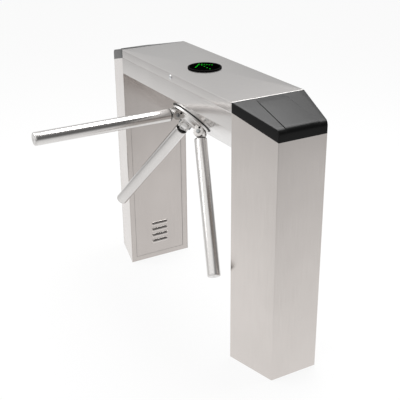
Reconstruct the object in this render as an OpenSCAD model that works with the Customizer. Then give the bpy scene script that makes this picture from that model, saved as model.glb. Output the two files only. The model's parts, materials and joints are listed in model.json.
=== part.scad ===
// Waist-high tripod turnstile: a bridge cabinet on two tapered columns, with a three-arm hub on its
// slanted face. Origin at floor level in the middle; X runs along the bridge, the passage side is -Y,
// and +X is the near column.

/* [Overall] */
// Height of the lid above the floor
total_h = 980; // [930:5:1030]
// Length of the bridge between the columns
bridge_len = 854; // [780:2:920]
// Depth of the cabinet, front to back
depth = 288; // [270:2:310]
// Thickness of the folded sheet metal
sheet_t = 2; // [1.5:0.5:2.5]

/* [Columns] */
// Length of a column along the bridge
column_len = 200; // [180:2:220]
// Depth of a column at its outer end
column_end_depth = 190; // [180:2:220]
// Thickness of the base plates
base_t = 8; // [6:1:12]
// Diameter of the anchor holes
anchor_d = 14; // [12:1:18]
// Distance from the column's inner face to the inner anchors
anchor_in = 28; // [26:1:40]
// Distance from the column's inner face to the outer anchors
anchor_out = 173; // [150:1:173]
// Distance between the inner anchors, front to back
anchor_in_gap = 210; // [180:2:220]
// Distance between the outer anchors, front to back
anchor_out_gap = 140; // [120:2:146]
// Diameter of the cable entry in each base plate
entry_d = 50; // [40:2:60]
// Diameter of the cable passage between column and bridge
passage_d = 46; // [36:2:54]

/* [Bridge] */
// Height of the lid's side above the seam
lid_h = 35; // [30:1:40]
// Height of the front panel's upright strip below the seam
strip_h = 63; // [56:1:70]
// Drop of the slanted face, which is also its run
slant_drop = 193; // [190:1:200]
// Width of the inward flanges at the seam
flange_w = 15; // [12:1:20]

/* [End caps] */
// Wall of the moulded end caps
cap_wall = 4; // [3.5:0.5:5]
// Fall of the cap's top over its length
cap_fall = 47.5; // [40:0.5:52]
// Fall of the cap's lower edge over its length
cap_edge_fall = 53; // [48:1:56]
// Radius of the cap's nose
cap_nose_r = 21; // [16:1:22]
// Height of the raised centre panel at the nose
cap_panel_rise = 4; // [2:0.5:5]
// Where the raised panel starts, from the cap's inner side
cap_panel_start = 14; // [10:1:24]
// Half width of the raised panel at its start
cap_panel_in = 57; // [50:1:62]
// Half width of the raised panel at the nose
cap_panel_out = 66; // [60:1:70]
// Depth of the lip that locates the cap inside the column
cap_lip = 8; // [6:1:12]

/* [Indicator] */
// Diameter of the indicator on the lid
bezel_d = 128; // [120:2:134]
// Height of the indicator above the lid
bezel_h = 5; // [4:0.5:7]
// Width of the indicator's rim
bezel_rim = 7; // [6:1:12]
// Diameter of one light dot
led_d = 4; // [3:0.5:5]
// Number of dots along the arrow's shaft
led_count = 9; // [7:1:11]
// Distance between the dots of the shaft
led_step = 10; // [8:0.5:10.5]
// Number of dots on each barb of the arrow
barb_count = 5; // [4:1:6]

/* [Doors] */
// Width of the door opening in a column's inner side
door_w = 238; // [220:2:240]
// Height of the door opening
door_h = 638; // [560:2:650]
// Height of the opening's lower edge above the floor
door_z = 22; // [18:1:30]
// Gap between door and opening
door_gap = 1; // [0.8:0.1:1.2]
// Gap at the hinged edge, where the door's corner swings past
hinge_gap = 1.5; // [1.4:0.1:2]
// Depth of the door's folded edges behind its sheet
fold_d = 10; // [8:1:14]
// Number of louvres in a door
louvre_count = 4; // [2:1:6]
// Length of a louvre
louvre_w = 72; // [60:2:90]
// Height of a louvre's hood
louvre_h = 13; // [10:1:16]
// Distance between louvres
louvre_step = 29; // [24:1:36]
// Height of the lowest louvre above the floor
louvre_z = 78; // [66:1:90]
// How far a louvre stands out of the door
louvre_out = 4; // [3:0.5:6]

/* [Hub] */
// Distance from the front panel's brow to the hub's axis, down the slanted face
hub_drop = 121.6; // [118:0.2:126]
// Radius of the black seal ring
seal_r = 88; // [84:1:92]
// Thickness of the seal ring
seal_t = 3; // [2:0.5:3]
// Radius of the hub's flange
flange_r = 80; // [76:1:82]
// Thickness of the hub's flange
flange_t = 8; // [6:1:8]
// Radius of the step above the flange
step_r = 58; // [56:1:60]
// Height of the step
step_t = 4; // [3:0.5:4]
// Radius of the hub's core
core_r = 48; // [44:1:48]
// Height of the core above the step
core_t = 11.5; // [9:0.5:12]
// How far the arms' common point lies behind the slanted face
apex_depth = 36.8; // [34:0.2:38]
// Distance from the arms' common point to each pivot
pivot_at = 96; // [95:0.5:98]

/* [Arms] */
// Length of an arm from the arms' common point
arm_len = 647; // [560:1:660]
// Outer diameter of an arm
arm_d = 48; // [40:1:48]
// Wall of the arm's tube
arm_wall = 2; // [1.5:0.5:3]
// Width of the knuckle's tongue
tongue_w = 26; // [22:1:28]
// Radius of the knuckle round its pivot
tongue_r = 18; // [16:0.5:18.5]
// Thickness of an ear
ear_t = 8; // [7:0.5:9]
// Radius of an ear's round end
ear_r = 20; // [19:0.5:20]
// Diameter of the pivot bolts
pivot_d = 10; // [8:1:12]

/* [Mechanism] */
// Diameter of the main shaft
shaft_d = 30; // [28:1:30]
// Diameter of the shaft behind the bearings
tail_d = 25; // [22:1:25]
// Outer diameter of the bearings
bearing_d = 62; // [60:1:62]
// Width of a bearing
bearing_w = 16; // [14:1:16]
// Tooth size of the gears: pitch diameter per tooth
gear_module = 2; // [2:0.5:2]
// Number of teeth on the main gear
gear_teeth = 48; // [46:1:50]
// Number of teeth on the motor's pinion
pinion_teeth = 16; // [15:1:18]
// Width of the gears
gear_w = 12; // [8:1:12]
// Number of stations on the index wheel
station_count = 6; // [6:6:6]
// Radius of the index wheel
wheel_r = 50; // [49:0.5:51]

/* [Hidden] */
$fn = 96;
// Overrun that lets every cut pass its faces
over = 1;
// Seating gap between parts that rest close without touching
seat_gap = 0.3;
// Radial running clearance of pins and shafts
run_gap = 0.05;
seam_z = total_h - lid_h;
brow_z = seam_z - strip_h;
under_z = brow_z - slant_drop;
half_len = bridge_len / 2;
half_d = depth / 2;
in_d = half_d - sheet_t;
col_top = seam_z;
taper_share = (depth - column_end_depth) / 2 / column_len;
slant_share = sqrt(1 + taper_share * taper_share);
cap_slope = cap_fall / column_len;
edge_slope = cap_edge_fall / column_len;
// Shares of a sheet's diagonal width: the slanted face stands at 45 degrees
diag_share = tan(22.5);
diag_sin = sin(45);

// Column frame: X counts outwards from the column's inner face
module at_column(side) {
    if (side > 0) translate([half_len, 0, 0]) children();
    else mirror([1, 0, 0]) translate([half_len, 0, 0]) children();
}
module both_columns() {
    at_column(1) children();
    at_column(-1) children();
}
// Half depth of the column's outline at a distance from its inner face, a wall thickness inside it
function col_y(x, wall) = half_d - taper_share * x - wall * slant_share;
module col_plan(wall, from, to) {
    polygon([[from, -col_y(from, wall)], [to, -col_y(to, wall)],
        [to, col_y(to, wall)], [from, col_y(from, wall)]]);
}
// Space under a sloping line that falls outwards over the column, as wide as the cabinet
module under_slope(z0, slope, reach) {
    rotate([90, 0, 0]) linear_extrude(height = depth + over + over, center = true)
        polygon([[-over, -over], [reach, -over], [reach, z0 - slope * reach], [-over, z0 + slope * over]]);
}

// Base plates, each with four anchor holes and a cable entry
anchor_r = anchor_d / 2;
entry_x = (anchor_in + anchor_out) / 2;
module drilled(x, y) translate([x, y, -over]) linear_extrude(height = base_t + over + over) children();
module base_plates() color("dimgray") both_columns() difference() {
    linear_extrude(height = base_t) col_plan(sheet_t, sheet_t, column_len - sheet_t);
    for (s = [-1, 1]) {
        drilled(anchor_in, s * anchor_in_gap / 2) circle(r = anchor_r);
        drilled(anchor_out, s * anchor_out_gap / 2) circle(r = anchor_r);
    }
    drilled(entry_x, 0) circle(r = entry_d / 2);
}

// Column shell: one sheet folded round three sides, its top edge falling outwards under the cap
module column_shell() intersection() {
    linear_extrude(height = col_top) difference() {
        col_plan(0, 0, column_len);
        col_plan(sheet_t, -over, column_len - sheet_t);
    }
    under_slope(col_top, edge_slope, column_len + over);
}
module near_column_shell() color("silver") at_column(1) column_shell();
module far_column_shell() color("silver") at_column(-1) column_shell();

// Inner panel: the column's flat side towards the passage, with the door opening and its folded frame
door_margin = 24;
door_y0 = -half_d + door_margin;
door_y1 = door_y0 + door_w;
door_z1 = door_z + door_h;
pin_r = 2;
pin_in = sheet_t + pin_r + 3 * run_gap;
pin_back = 9.5;
pin_y = door_y1 - pin_back;
// The cable passage lies in the bridge's end, above the underside and above the door
passage_z = max(under_z + strip_h, door_z1 + passage_d);
passage_y = half_d / 2;
module door_space(grow, d0, d1) {
    translate([d0, door_y0 - grow, door_z - grow]) cube([d1 - d0, door_w + 2 * grow, door_h + 2 * grow]);
}
module pin_holes(gap) {
    for (z = [door_z - sheet_t - over, door_z1 - over])
        translate([pin_in, pin_y, z]) cylinder(r = pin_r + gap, h = sheet_t + over + over);
}
module inner_panel() difference() {
    union() {
        translate([0, -col_y(sheet_t, sheet_t), 0])
            cube([sheet_t, 2 * col_y(sheet_t, sheet_t), col_top - edge_slope * sheet_t]);
        door_space(sheet_t, 0, sheet_t + fold_d);
    }
    door_space(0, -over, sheet_t + fold_d + over);
    pin_holes(run_gap);
    translate([-over, passage_y, passage_z]) rotate([0, 90, 0])
        cylinder(r = passage_d / 2, h = sheet_t + over + over);
}
module near_inner_panel() color("silver") at_column(1) inner_panel();
module far_inner_panel() color("silver") at_column(-1) inner_panel();

// Bridge front panel: flange, upright strip, slanted face and underside from one sheet
slant_y = -half_d + slant_drop;
hub_y = -half_d + hub_drop * diag_sin;
hub_z = brow_z - hub_drop * diag_sin;
bend_in = sheet_t * diag_share;
front_hole_r = 40;
module bridge_run(points) {
    translate([-half_len, 0, 0]) rotate([90, 0, 90]) linear_extrude(height = bridge_len) polygon(points);
}
// Hub frame: Z along the hub's axis out of the slanted face, Y up the face, X along the bridge
module hub_frame() {
    translate([0, hub_y, hub_z]) rotate([135, 0, 0]) children();
}
module bridge_front_panel() color("silver") difference() {
    union() {
        bridge_run([[-half_d, seam_z], [-half_d, brow_z], [slant_y, under_z], [half_d, under_z],
            [half_d, under_z + sheet_t], [slant_y + bend_in, under_z + sheet_t],
            [-in_d, brow_z + bend_in], [-in_d, seam_z - sheet_t],
            [-in_d + flange_w, seam_z - sheet_t], [-in_d + flange_w, seam_z]]);
        lid_keeper();
    }
    hub_frame() translate([0, 0, -sheet_t - over]) cylinder(r = front_hole_r, h = sheet_t + over + over);
}
module bridge_back_panel() color("silver")
    bridge_run([[half_d, under_z + sheet_t], [half_d, seam_z], [in_d - flange_w, seam_z],
        [in_d - flange_w, seam_z - sheet_t], [in_d, seam_z - sheet_t], [in_d, under_z + sheet_t]]);

// End cap: moulded shell with a sloping top, a rounded nose and a raised centre panel
cap_top = total_h;
// Outline seen from the side, drawn a wall thickness inside the outer face, with the nose as a true arc
module cap_outline(wall, rise) {
    slope = cap_slope - rise / column_len;
    lift = sqrt(1 + slope * slope);
    r = cap_nose_r - wall;
    end = column_len - wall;
    cx = end - r;
    top0 = cap_top - wall * lift;
    cy = top0 - slope * cx - r * lift;
    start = wall > 0 ? wall : 0;
    polygon([[start, 0], [start, top0 - slope * start], [cx + r * slope / lift, cy + r / lift], [cx, cy],
        [end, cy], [end, 0]]);
    translate([cx, cy]) circle(r = r);
}
module cap_solid(wall, rise) rotate([90, 0, 0]) linear_extrude(height = depth + over + over, center = true)
    cap_outline(wall, rise);
module cap_panel() {
    linear_extrude(height = cap_top + cap_panel_rise + over)
        polygon([[cap_panel_start, -cap_panel_in], [column_len + over, -cap_panel_out],
            [column_len + over, cap_panel_out], [cap_panel_start, cap_panel_in]]);
}
lip_wall = sheet_t + seat_gap;
module end_cap() difference() {
    union() {
        intersection() {
            cap_solid(0, 0);
            linear_extrude(height = cap_top) col_plan(0, 0, column_len);
        }
        intersection() {
            cap_solid(0, cap_panel_rise);
            cap_panel();
            linear_extrude(height = cap_top + cap_panel_rise) col_plan(0, 0, column_len);
        }
    }
    intersection() {
        cap_solid(cap_wall, 0);
        linear_extrude(height = cap_top) col_plan(cap_wall, cap_wall, column_len - cap_wall);
    }
    difference() {
        under_slope(col_top, edge_slope, column_len + over);
        linear_extrude(height = col_top) col_plan(lip_wall, lip_wall, column_len - lip_wall);
    }
    under_slope(col_top - cap_lip, edge_slope, column_len + over);
}
module near_end_cap() color([0.2, 0.2, 0.2]) at_column(1) end_cap();
module far_end_cap() color([0.2, 0.2, 0.2]) at_column(-1) end_cap();

// Hinge pins of the doors, and of the lid behind the back panel
pin_reach = 7;
lid_pin_out = 6;
lid_pin_y = half_d + lid_pin_out;
lid_pin_z = seam_z;
lid_pin_r = 2;
barrel_r = 5;
barrel_w = 24;
hinge_share = 0.36;
hinge_at = bridge_len * hinge_share;
leaf_t = 2;
leaf_h = 22;
module lid_hinge_places() {
    for (x = [-hinge_at, 0, hinge_at]) translate([x, lid_pin_y, lid_pin_z]) rotate([0, 90, 0]) children();
}
module hinge_pins() color("gray") {
    both_columns() for (z = [door_z, door_z1]) translate([pin_in, pin_y, z - pin_reach])
        cylinder(r = pin_r, h = 2 * pin_reach);
    lid_hinge_places() translate([0, 0, -3 * barrel_w / 2]) cylinder(r = lid_pin_r, h = 3 * barrel_w);
}
// Hinge barrels on the back panel: two outer knuckles on a leaf, below the seam
module hinge_leaf(up, from, w) {
    // the knuckles turn about local Z, and local -X is up
    translate([up > 0 ? -leaf_h : 0, -(lid_pin_y - half_d), from]) cube([leaf_h, leaf_t, w]);
    translate([0, 0, from]) cylinder(r = barrel_r, h = w);
}
module knuckle_bore(gap) {
    translate([0, 0, -2 * barrel_w]) cylinder(r = lid_pin_r + gap, h = 4 * barrel_w);
}
module lid_hinge_barrels() color("gray") lid_hinge_places() difference() {
    union() {
        hinge_leaf(-1, barrel_w / 2 + seat_gap, barrel_w - seat_gap);
        hinge_leaf(-1, -3 * barrel_w / 2, barrel_w - seat_gap);
    }
    knuckle_bore(0);
}

// Mechanism frame, in the hub frame: heights are measured from the slanted face, negative inside the cabinet
shaft_r = shaft_d / 2;
tail_r = tail_d / 2;
end_r = 8;
plate_x = 110;
plate_y = 85;
plate_t = 8;
plate_top = -sheet_t;
plate_low = plate_top - plate_t;
plate_hole_r = 28;
house_x = 41.5;
house_y = 62;
house_flange_t = 8;
house_bolt_x = 32;
house_bolt_y = 51;
house_bolt_r = 3;
house_r = 40;
house_len = 70;
house_low = plate_low - house_len;
race_r = bearing_d / 2;
bearing_in = 4;
bearing_apart = 30;
bearing1_low = plate_low - bearing_in - bearing_w;
bearing2_low = bearing1_low - bearing_apart - bearing_w;
shoulder_r = 18;
journal_len = 10;
shoulder_low = bearing2_low - journal_len;
gear_low = shoulder_low - gear_w;
wheel_t = 10;
wheel_apart = 6;
wheel_top = gear_low - wheel_apart;
wheel_low = wheel_top - wheel_t;
nut_t = 5;
nut_r = 19;
rear_apart = 6;
rear_top = wheel_low - rear_apart;
rear_t = 6;
rear_low = rear_top - rear_t;
rear_x = 106;
rear_y = 62;
rear_hole_r = 21;
post_x = 97;
post_y = 53;
post_r = 6;
post_hole_r = 3;
encoder_drop = 8;
encoder_low = rear_low - encoder_drop;
encoder_t = 3;
encoder_r = 30;
shaft_end = 6;
shaft_low = encoder_low - shaft_end;
pitch_r = gear_module * gear_teeth / 2;
pinion_r = gear_module * pinion_teeth / 2;
drive_x = pitch_r + pinion_r;
motor_r = 21;
motor_apart = 2;
motor_low = gear_low + gear_w + motor_apart;
motor_shaft_r = 4;
motor_shaft_in = 22;

module tube(r_out, r_in, z0, z1) {
    difference() {
        translate([0, 0, z0]) cylinder(r = r_out, h = z1 - z0);
        translate([0, 0, z0 - over]) cylinder(r = r_in, h = z1 - z0 + over + over);
    }
}
module post_places() {
    for (x = [-post_x, post_x], y = [-post_y, post_y]) translate([x, y, 0]) children();
}
module house_bolt_places() {
    for (x = [-house_bolt_x, house_bolt_x], y = [-house_bolt_y, house_bolt_y])
        translate([x, y, 0]) children();
}

module hub_seal_ring() color([0.08, 0.08, 0.08]) hub_frame() tube(seal_r, plate_hole_r, 0, seal_t);
module mechanism_plate() color("gainsboro") hub_frame() difference() {
    translate([-plate_x, -plate_y, plate_low]) cube([2 * plate_x, 2 * plate_y, plate_t]);
    translate([0, 0, plate_low - over]) cylinder(r = plate_hole_r, h = plate_t + over + over);
    post_places() translate([0, 0, plate_low - over]) cylinder(r = post_hole_r, h = plate_t + over + over);
}
// Standoffs carry the rear plate and hold a threaded spigot in each plate's hole
module frame_standoffs() color("silver") hub_frame() post_places() {
    translate([0, 0, rear_top]) cylinder(r = post_r, h = plate_low - rear_top);
    translate([0, 0, rear_low]) cylinder(r = post_hole_r - run_gap, h = plate_top - rear_low);
}
module rear_plate() color("gainsboro") hub_frame() difference() {
    translate([-rear_x, -rear_y, rear_low]) cube([2 * rear_x, 2 * rear_y, rear_t]);
    translate([0, 0, rear_low - over]) cylinder(r = rear_hole_r, h = rear_t + over + over);
    post_places() translate([0, 0, rear_low - over]) cylinder(r = post_hole_r, h = rear_t + over + over);
}
module bearing_housing() color("darkgray") hub_frame() difference() {
    union() {
        translate([-house_x, -house_y, plate_low - house_flange_t])
            cube([2 * house_x, 2 * house_y, house_flange_t]);
        translate([0, 0, house_low]) cylinder(r = house_r, h = house_len);
    }
    translate([0, 0, house_low - over]) cylinder(r = plate_hole_r, h = house_len + over + over);
    for (z = [bearing1_low, bearing2_low]) translate([0, 0, z]) cylinder(r = race_r + run_gap, h = bearing_w);
    translate([0, 0, house_low - over])
        cylinder(r = race_r + run_gap, h = bearing2_low - house_low + over + over);
    house_bolt_places() translate([0, 0, plate_low - house_flange_t - over])
        cylinder(r = house_bolt_r, h = house_flange_t + over + over);
}
race_split_r = 22;
module bearing_outer_rings() color("lightsteelblue") hub_frame()
    for (z = [bearing1_low, bearing2_low]) tube(race_r, race_split_r + seat_gap, z, z + bearing_w);
module bearing_inner_rings() color("steelblue") hub_frame()
    for (z = [bearing1_low, bearing2_low]) tube(race_split_r, shaft_r + run_gap, z, z + bearing_w);

// Main shaft: front journal, shoulder between the bearings, thinner tail and a thin end for the encoder
spin_gap = 0.5;
flange_low = seal_t + spin_gap;
flange_top = flange_low + flange_t;
step_top = flange_top + step_t;
hub_top = step_top + core_t;
shaft_drop = 8;
shaft_top = hub_top - shaft_drop;
screw_r = 6;
screw_deep = 26;
key_w = 8;
key_h = 7;
key_out = 3;
module shaft_key(r, z0, z1, gap) {
    translate([-key_w / 2 - gap, r + key_out - key_h - gap, z0 - gap])
        cube([key_w + 2 * gap, key_h + 2 * gap, z1 - z0 + 2 * gap]);
}
module main_shaft() color("lightgray") hub_frame() difference() {
    union() {
        translate([0, 0, shoulder_low]) cylinder(r = shaft_r, h = shaft_top - shoulder_low);
        translate([0, 0, bearing2_low + bearing_w])
            cylinder(r = shoulder_r, h = bearing1_low - bearing2_low - bearing_w);
        translate([0, 0, rear_top]) cylinder(r = tail_r, h = shoulder_low - rear_top);
        translate([0, 0, shaft_low]) cylinder(r = end_r, h = rear_top - shaft_low);
    }
    translate([0, 0, shaft_top - screw_deep]) cylinder(r = screw_r, h = screw_deep + over);
    shaft_key(tail_r, wheel_low, shoulder_low, 0);
    shaft_key(shaft_r, flange_low, shaft_top, 0);
}
module drive_keys() {
    shaft_key(tail_r, wheel_low, shoulder_low, 0);
    shaft_key(shaft_r, flange_low, shaft_top, 0);
}
screw_head_r = 9;
screw_head_t = 3;
washer_r = 11;
washer_t = 2;
recess_r = 12;
recess_low = hub_top - screw_head_t - washer_t;
module shaft_fasteners() color("gray") hub_frame() {
    translate([0, 0, shaft_top - screw_deep])
        cylinder(r = screw_r - run_gap, h = screw_deep + recess_low - shaft_top);
    tube(washer_r, screw_r, recess_low, recess_low + washer_t);
    translate([0, 0, recess_low]) cylinder(r = screw_r - run_gap, h = washer_t);
    translate([0, 0, recess_low + washer_t]) cylinder(r = screw_head_r, h = screw_head_t);
    drive_keys();
    tube(nut_r, tail_r + run_gap, wheel_low - nut_t, wheel_low);
}

// Gears with involute flanks; the radii are those of the points along a flank
pressure = 20;
backlash = 0.35;
// Places and sizes of the main gear's lightening holes, as shares of its pitch radius
gear_hole_at_share = 0.62;
gear_hole_share = 0.17;
function inv(a) = tan(a) * 180 / PI - a;
function half_tooth(r, rp, teeth) = 90 / teeth - backlash / rp * 90 / PI + inv(pressure)
    - inv(acos(min(1, rp * cos(pressure) / r)));
function polar(r, a) = [r * cos(a), r * sin(a)];
function flank_radii(rp) = [rp - 1.25 * gear_module,
    max(rp - 1.25 * gear_module, rp * cos(pressure)) + run_gap,
    rp - gear_module / 3, rp + gear_module / 3, rp + 0.9 * gear_module];
function gear_points(teeth) = let (rp = gear_module * teeth / 2, radii = flank_radii(rp)) [
    for (k = [0 : teeth - 1], side = [-1, 1], i = [0 : 4])
        let (r = radii[side < 0 ? i : 4 - i]) polar(r, k * 360 / teeth + side * half_tooth(r, rp, teeth))];
module main_gear() color("slategray") hub_frame() difference() {
    translate([0, 0, gear_low]) linear_extrude(height = gear_w) polygon(gear_points(gear_teeth));
    translate([0, 0, gear_low - over]) cylinder(r = tail_r + run_gap, h = gear_w + over + over);
    shaft_key(tail_r, wheel_low, shoulder_low + over, 0);
    for (a = [45 : 90 : 315]) rotate([0, 0, a]) translate([pitch_r * gear_hole_at_share, 0, gear_low - over])
        cylinder(r = pitch_r * gear_hole_share, h = gear_w + over + over);
}
// The pinion and its shaft turn in the motor, half a tooth out of step with the gear's tooth beside it
module drive_pinion() color("goldenrod") hub_frame() translate([drive_x, 0, 0]) {
    translate([0, 0, gear_low]) rotate([0, 0, 180 / pinion_teeth * (1 + pinion_teeth % 2)])
        linear_extrude(height = gear_w) polygon(gear_points(pinion_teeth));
    translate([0, 0, gear_low]) cylinder(r = motor_shaft_r, h = gear_w + motor_apart + motor_shaft_in);
}
motor_cap_r = 17;
motor_cap_t = 6;
module drive_motor() color([0.25, 0.25, 0.28]) hub_frame() translate([drive_x, 0, 0]) difference() {
    union() {
        translate([0, 0, motor_low + motor_cap_t])
            cylinder(r = motor_r, h = plate_low - motor_low - motor_cap_t);
        translate([0, 0, motor_low]) cylinder(r = motor_cap_r, h = motor_cap_t);
    }
    translate([0, 0, motor_low - over])
        cylinder(r = motor_shaft_r + run_gap, h = motor_shaft_in + over + over);
}

// Index wheel: six notches for the locking pawls, with a boss that spaces it from the gear
nose_w = 8;
nose_play = 3;
notch_w = nose_w + nose_play;
notch_deep = 7;
wheel_boss_r = 18;
module index_wheel() color("slategray") hub_frame() difference() {
    union() {
        translate([0, 0, wheel_low]) cylinder(r = wheel_r, h = wheel_t);
        translate([0, 0, wheel_low]) cylinder(r = wheel_boss_r, h = gear_low - wheel_low);
    }
    translate([0, 0, wheel_low - over])
        cylinder(r = tail_r + run_gap, h = gear_low - wheel_low + over + over);
    shaft_key(tail_r, wheel_low - over, shoulder_low, 0);
    for (k = [0 : station_count - 1]) rotate([0, 0, k * 360 / station_count])
        translate([wheel_r - notch_deep, -notch_w / 2, wheel_low - over])
            cube([notch_deep + over, notch_w, wheel_t + over + over]);
}
encoder_slots = 24;
slot_w = 2;
slot_r = 23;
slot_len = 5;
encoder_boss_r = 12;
encoder_boss_t = 4;
module encoder_disc() color("black") hub_frame() difference() {
    union() {
        translate([0, 0, encoder_low]) cylinder(r = encoder_r, h = encoder_t);
        translate([0, 0, encoder_low - encoder_boss_t]) cylinder(r = encoder_boss_r, h = encoder_boss_t);
    }
    translate([0, 0, encoder_low - encoder_boss_t - over])
        cylinder(r = end_r + run_gap, h = encoder_t + encoder_boss_t + over + over);
    for (k = [1 : encoder_slots]) rotate([0, 0, k * 360 / encoder_slots])
        translate([slot_r, -slot_w / 2, encoder_low - over])
            cube([slot_len, slot_w, encoder_t + over + over]);
}
// Fork sensor behind the rear plate, its slot round the rim of the encoder disc
sensor_w = 16;
sensor_in = 21;
sensor_out = 46;
sensor_deep = 14;
sensor_gap = 1.5;
module encoder_sensor() color([0.1, 0.1, 0.1]) hub_frame() difference() {
    translate([-sensor_w / 2, sensor_in, rear_low - sensor_deep])
        cube([sensor_w, sensor_out - sensor_in, sensor_deep]);
    translate([-sensor_w / 2 - over, sensor_in - over, encoder_low - sensor_gap])
        cube([sensor_w + over + over, encoder_r + sensor_gap - sensor_in + over, encoder_t + 2 * sensor_gap]);
}

// Locking pawls: each swings on a pin of the rear plate, and a solenoid's plunger pushes its tail
pawl_x = 63.9;
pawl_y = 26.6;
pawl_boss_r = 9;
pawl_pin_r = 4;
pawl_arm_r = 4;
nose_clear = 1.5;
nose_out = 16;
knee_out = 14;
nose_from = wheel_r + nose_clear;
nose_to = wheel_r + nose_out;
nose_knee = wheel_r + knee_out;
nose_turn = 60;
tail_len = 30;
tail_turn = -30;
plunger_turn = 60;
pawl_inset = 1;
pawl_t = wheel_t - 2 * pawl_inset;
pawl_low = wheel_low + pawl_inset;
tail_x = pawl_x + tail_len * cos(tail_turn);
tail_y = pawl_y + tail_len * sin(tail_turn);
coil_back = 31;
coil_x = tail_x - coil_back * cos(plunger_turn);
coil_y = tail_y - coil_back * sin(plunger_turn);
coil_len = 40;
coil_w = 26;
coil_t = 20;
coil_low = rear_top;
plunger_r = 4;
plunger_tip = coil_back - pawl_arm_r - seat_gap;
plunger_tail = -14;
module bar2d(x0, y0, x1, y1, r) {
    len = norm([x1 - x0, y1 - y0]);
    translate([x0, y0]) rotate(atan2(y1 - y0, x1 - x0)) translate([0, -r]) square([len, 2 * r]);
    translate([x1, y1]) circle(r = r);
    translate([x0, y0]) circle(r = r);
}
module pawl() hub_frame() translate([0, 0, pawl_low]) linear_extrude(height = pawl_t) difference() {
    union() {
        translate([pawl_x, pawl_y]) circle(r = pawl_boss_r);
        bar2d(pawl_x, pawl_y, nose_knee * cos(nose_turn), nose_knee * sin(nose_turn), pawl_arm_r);
        rotate(nose_turn) translate([nose_from, -nose_w / 2]) square([nose_to - nose_from, nose_w]);
        bar2d(pawl_x, pawl_y, tail_x, tail_y, pawl_arm_r);
    }
    translate([pawl_x, pawl_y]) circle(r = pawl_pin_r + run_gap);
}
module near_pawl() color("peru") pawl();
module far_pawl() color("peru") mirror([1, 0, 0]) pawl();
pawl_head_r = 6;
pawl_head_t = 2;
module pawl_pin() hub_frame() translate([pawl_x, pawl_y, 0]) {
    translate([0, 0, rear_top]) cylinder(r = pawl_head_r, h = pawl_low - seat_gap - rear_top);
    translate([0, 0, rear_top]) cylinder(r = pawl_pin_r, h = pawl_low + pawl_t + seat_gap - rear_top);
    translate([0, 0, pawl_low + pawl_t + seat_gap]) cylinder(r = pawl_head_r, h = pawl_head_t);
}
module pawl_pins() color("gray") {
    pawl_pin();
    mirror([1, 0, 0]) pawl_pin();
}
module coil_frame() hub_frame() translate([coil_x, coil_y, 0]) rotate([0, 0, plunger_turn]) children();
module plunger_rod(gap) {
    translate([plunger_tail - gap, 0, coil_low + coil_t / 2]) rotate([0, 90, 0])
        cylinder(r = plunger_r + gap, h = plunger_tip - plunger_tail + 2 * gap);
}
module solenoid() coil_frame() difference() {
    translate([-coil_len / 2, -coil_w / 2, coil_low]) cube([coil_len, coil_w, coil_t]);
    translate([plunger_tail - seat_gap, 0, coil_low + coil_t / 2]) rotate([0, 90, 0])
        cylinder(r = plunger_r + run_gap, h = coil_len);
}
module lock_solenoids() color("royalblue") {
    solenoid();
    mirror([1, 0, 0]) solenoid();
}
module near_plunger() color("silver") coil_frame() plunger_rod(0);
module far_plunger() color("silver") mirror([1, 0, 0]) coil_frame() plunger_rod(0);

// Hub flange and hub body; ears stand in pairs round the body, one pair for each arm
pivot_rad = pivot_at * diag_sin;
pivot_t = pivot_rad - apex_depth;
ear_gap = 0.5;
ear_x = tongue_w / 2 + ear_gap;
ear_in = 36;
foot_out = 62;
ear_drop = 3;
arm_turns = [0, -120, 120];
module hub_flange() color("silver") hub_frame() difference() {
    union() {
        translate([0, 0, flange_low]) cylinder(r = flange_r, h = flange_t);
        translate([0, 0, flange_top]) cylinder(r = step_r, h = step_t);
    }
    translate([0, 0, flange_low - over]) cylinder(r = shaft_r + run_gap, h = flange_t + step_t + over + over);
    shaft_key(shaft_r, flange_low - over, shaft_top, 0);
}
// Plane of an arm: X counts outwards from the hub's axis, Y along it, Z across the arm
module arm_plane(turn) hub_frame() rotate([0, 0, turn]) rotate([90, 0, 90]) children();
// Arm frame: Z along the arm from the arms' common point, X along its pivot
module arm_frame(turn) hub_frame() rotate([0, 0, turn]) translate([0, 0, -apex_depth]) rotate([-45, 0, 0])
    children();
module across(from, w) translate([0, 0, from]) linear_extrude(height = w) children();
module ear_outline() {
    translate([pivot_rad, pivot_t]) circle(r = ear_r);
    polygon([[ear_in, flange_top], [foot_out, flange_top], [pivot_rad, pivot_t], [pivot_rad - ear_r, pivot_t],
        [ear_in, hub_top - ear_drop]]);
}
plunger_at = 15;
lock_r = 4.5;
lock_turn = -112.5;
lock_proud = 0.8;
module lock_place() translate([pivot_rad, pivot_t] + polar(plunger_at, lock_turn)) children();
module hub_body() color("gainsboro") difference() {
    union() {
        hub_frame() translate([0, 0, step_top]) cylinder(r = core_r, h = core_t);
        for (turn = arm_turns) arm_plane(turn) difference() {
            union() {
                across(ear_x, ear_t) ear_outline();
                across(-ear_x - ear_t, ear_t) ear_outline();
            }
            across(-ear_x - ear_t - over, 2 * (ear_x + ear_t + over)) {
                translate([pivot_rad, pivot_t]) circle(r = pivot_d / 2 + run_gap);
                lock_place() circle(r = lock_r + run_gap);
            }
        }
    }
    hub_frame() {
        translate([0, 0, -over]) cylinder(r = step_r + seat_gap, h = step_top + over);
        translate([0, 0, -over]) cylinder(r = flange_r + seat_gap, h = flange_top + over);
        translate([0, 0, 0]) cylinder(r = shaft_r + run_gap, h = shaft_top);
        translate([0, 0, 0]) cylinder(r = screw_r, h = hub_top);
        translate([0, 0, recess_low]) cylinder(r = recess_r, h = hub_top);
        shaft_key(shaft_r, flange_low - over, shaft_top, 0);
    }
}
bolt_head_r = 7.5;
bolt_head_t = 5;
socket_r = 4.2;
socket_deep = 3;
nut_across_r = 8.6;
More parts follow.
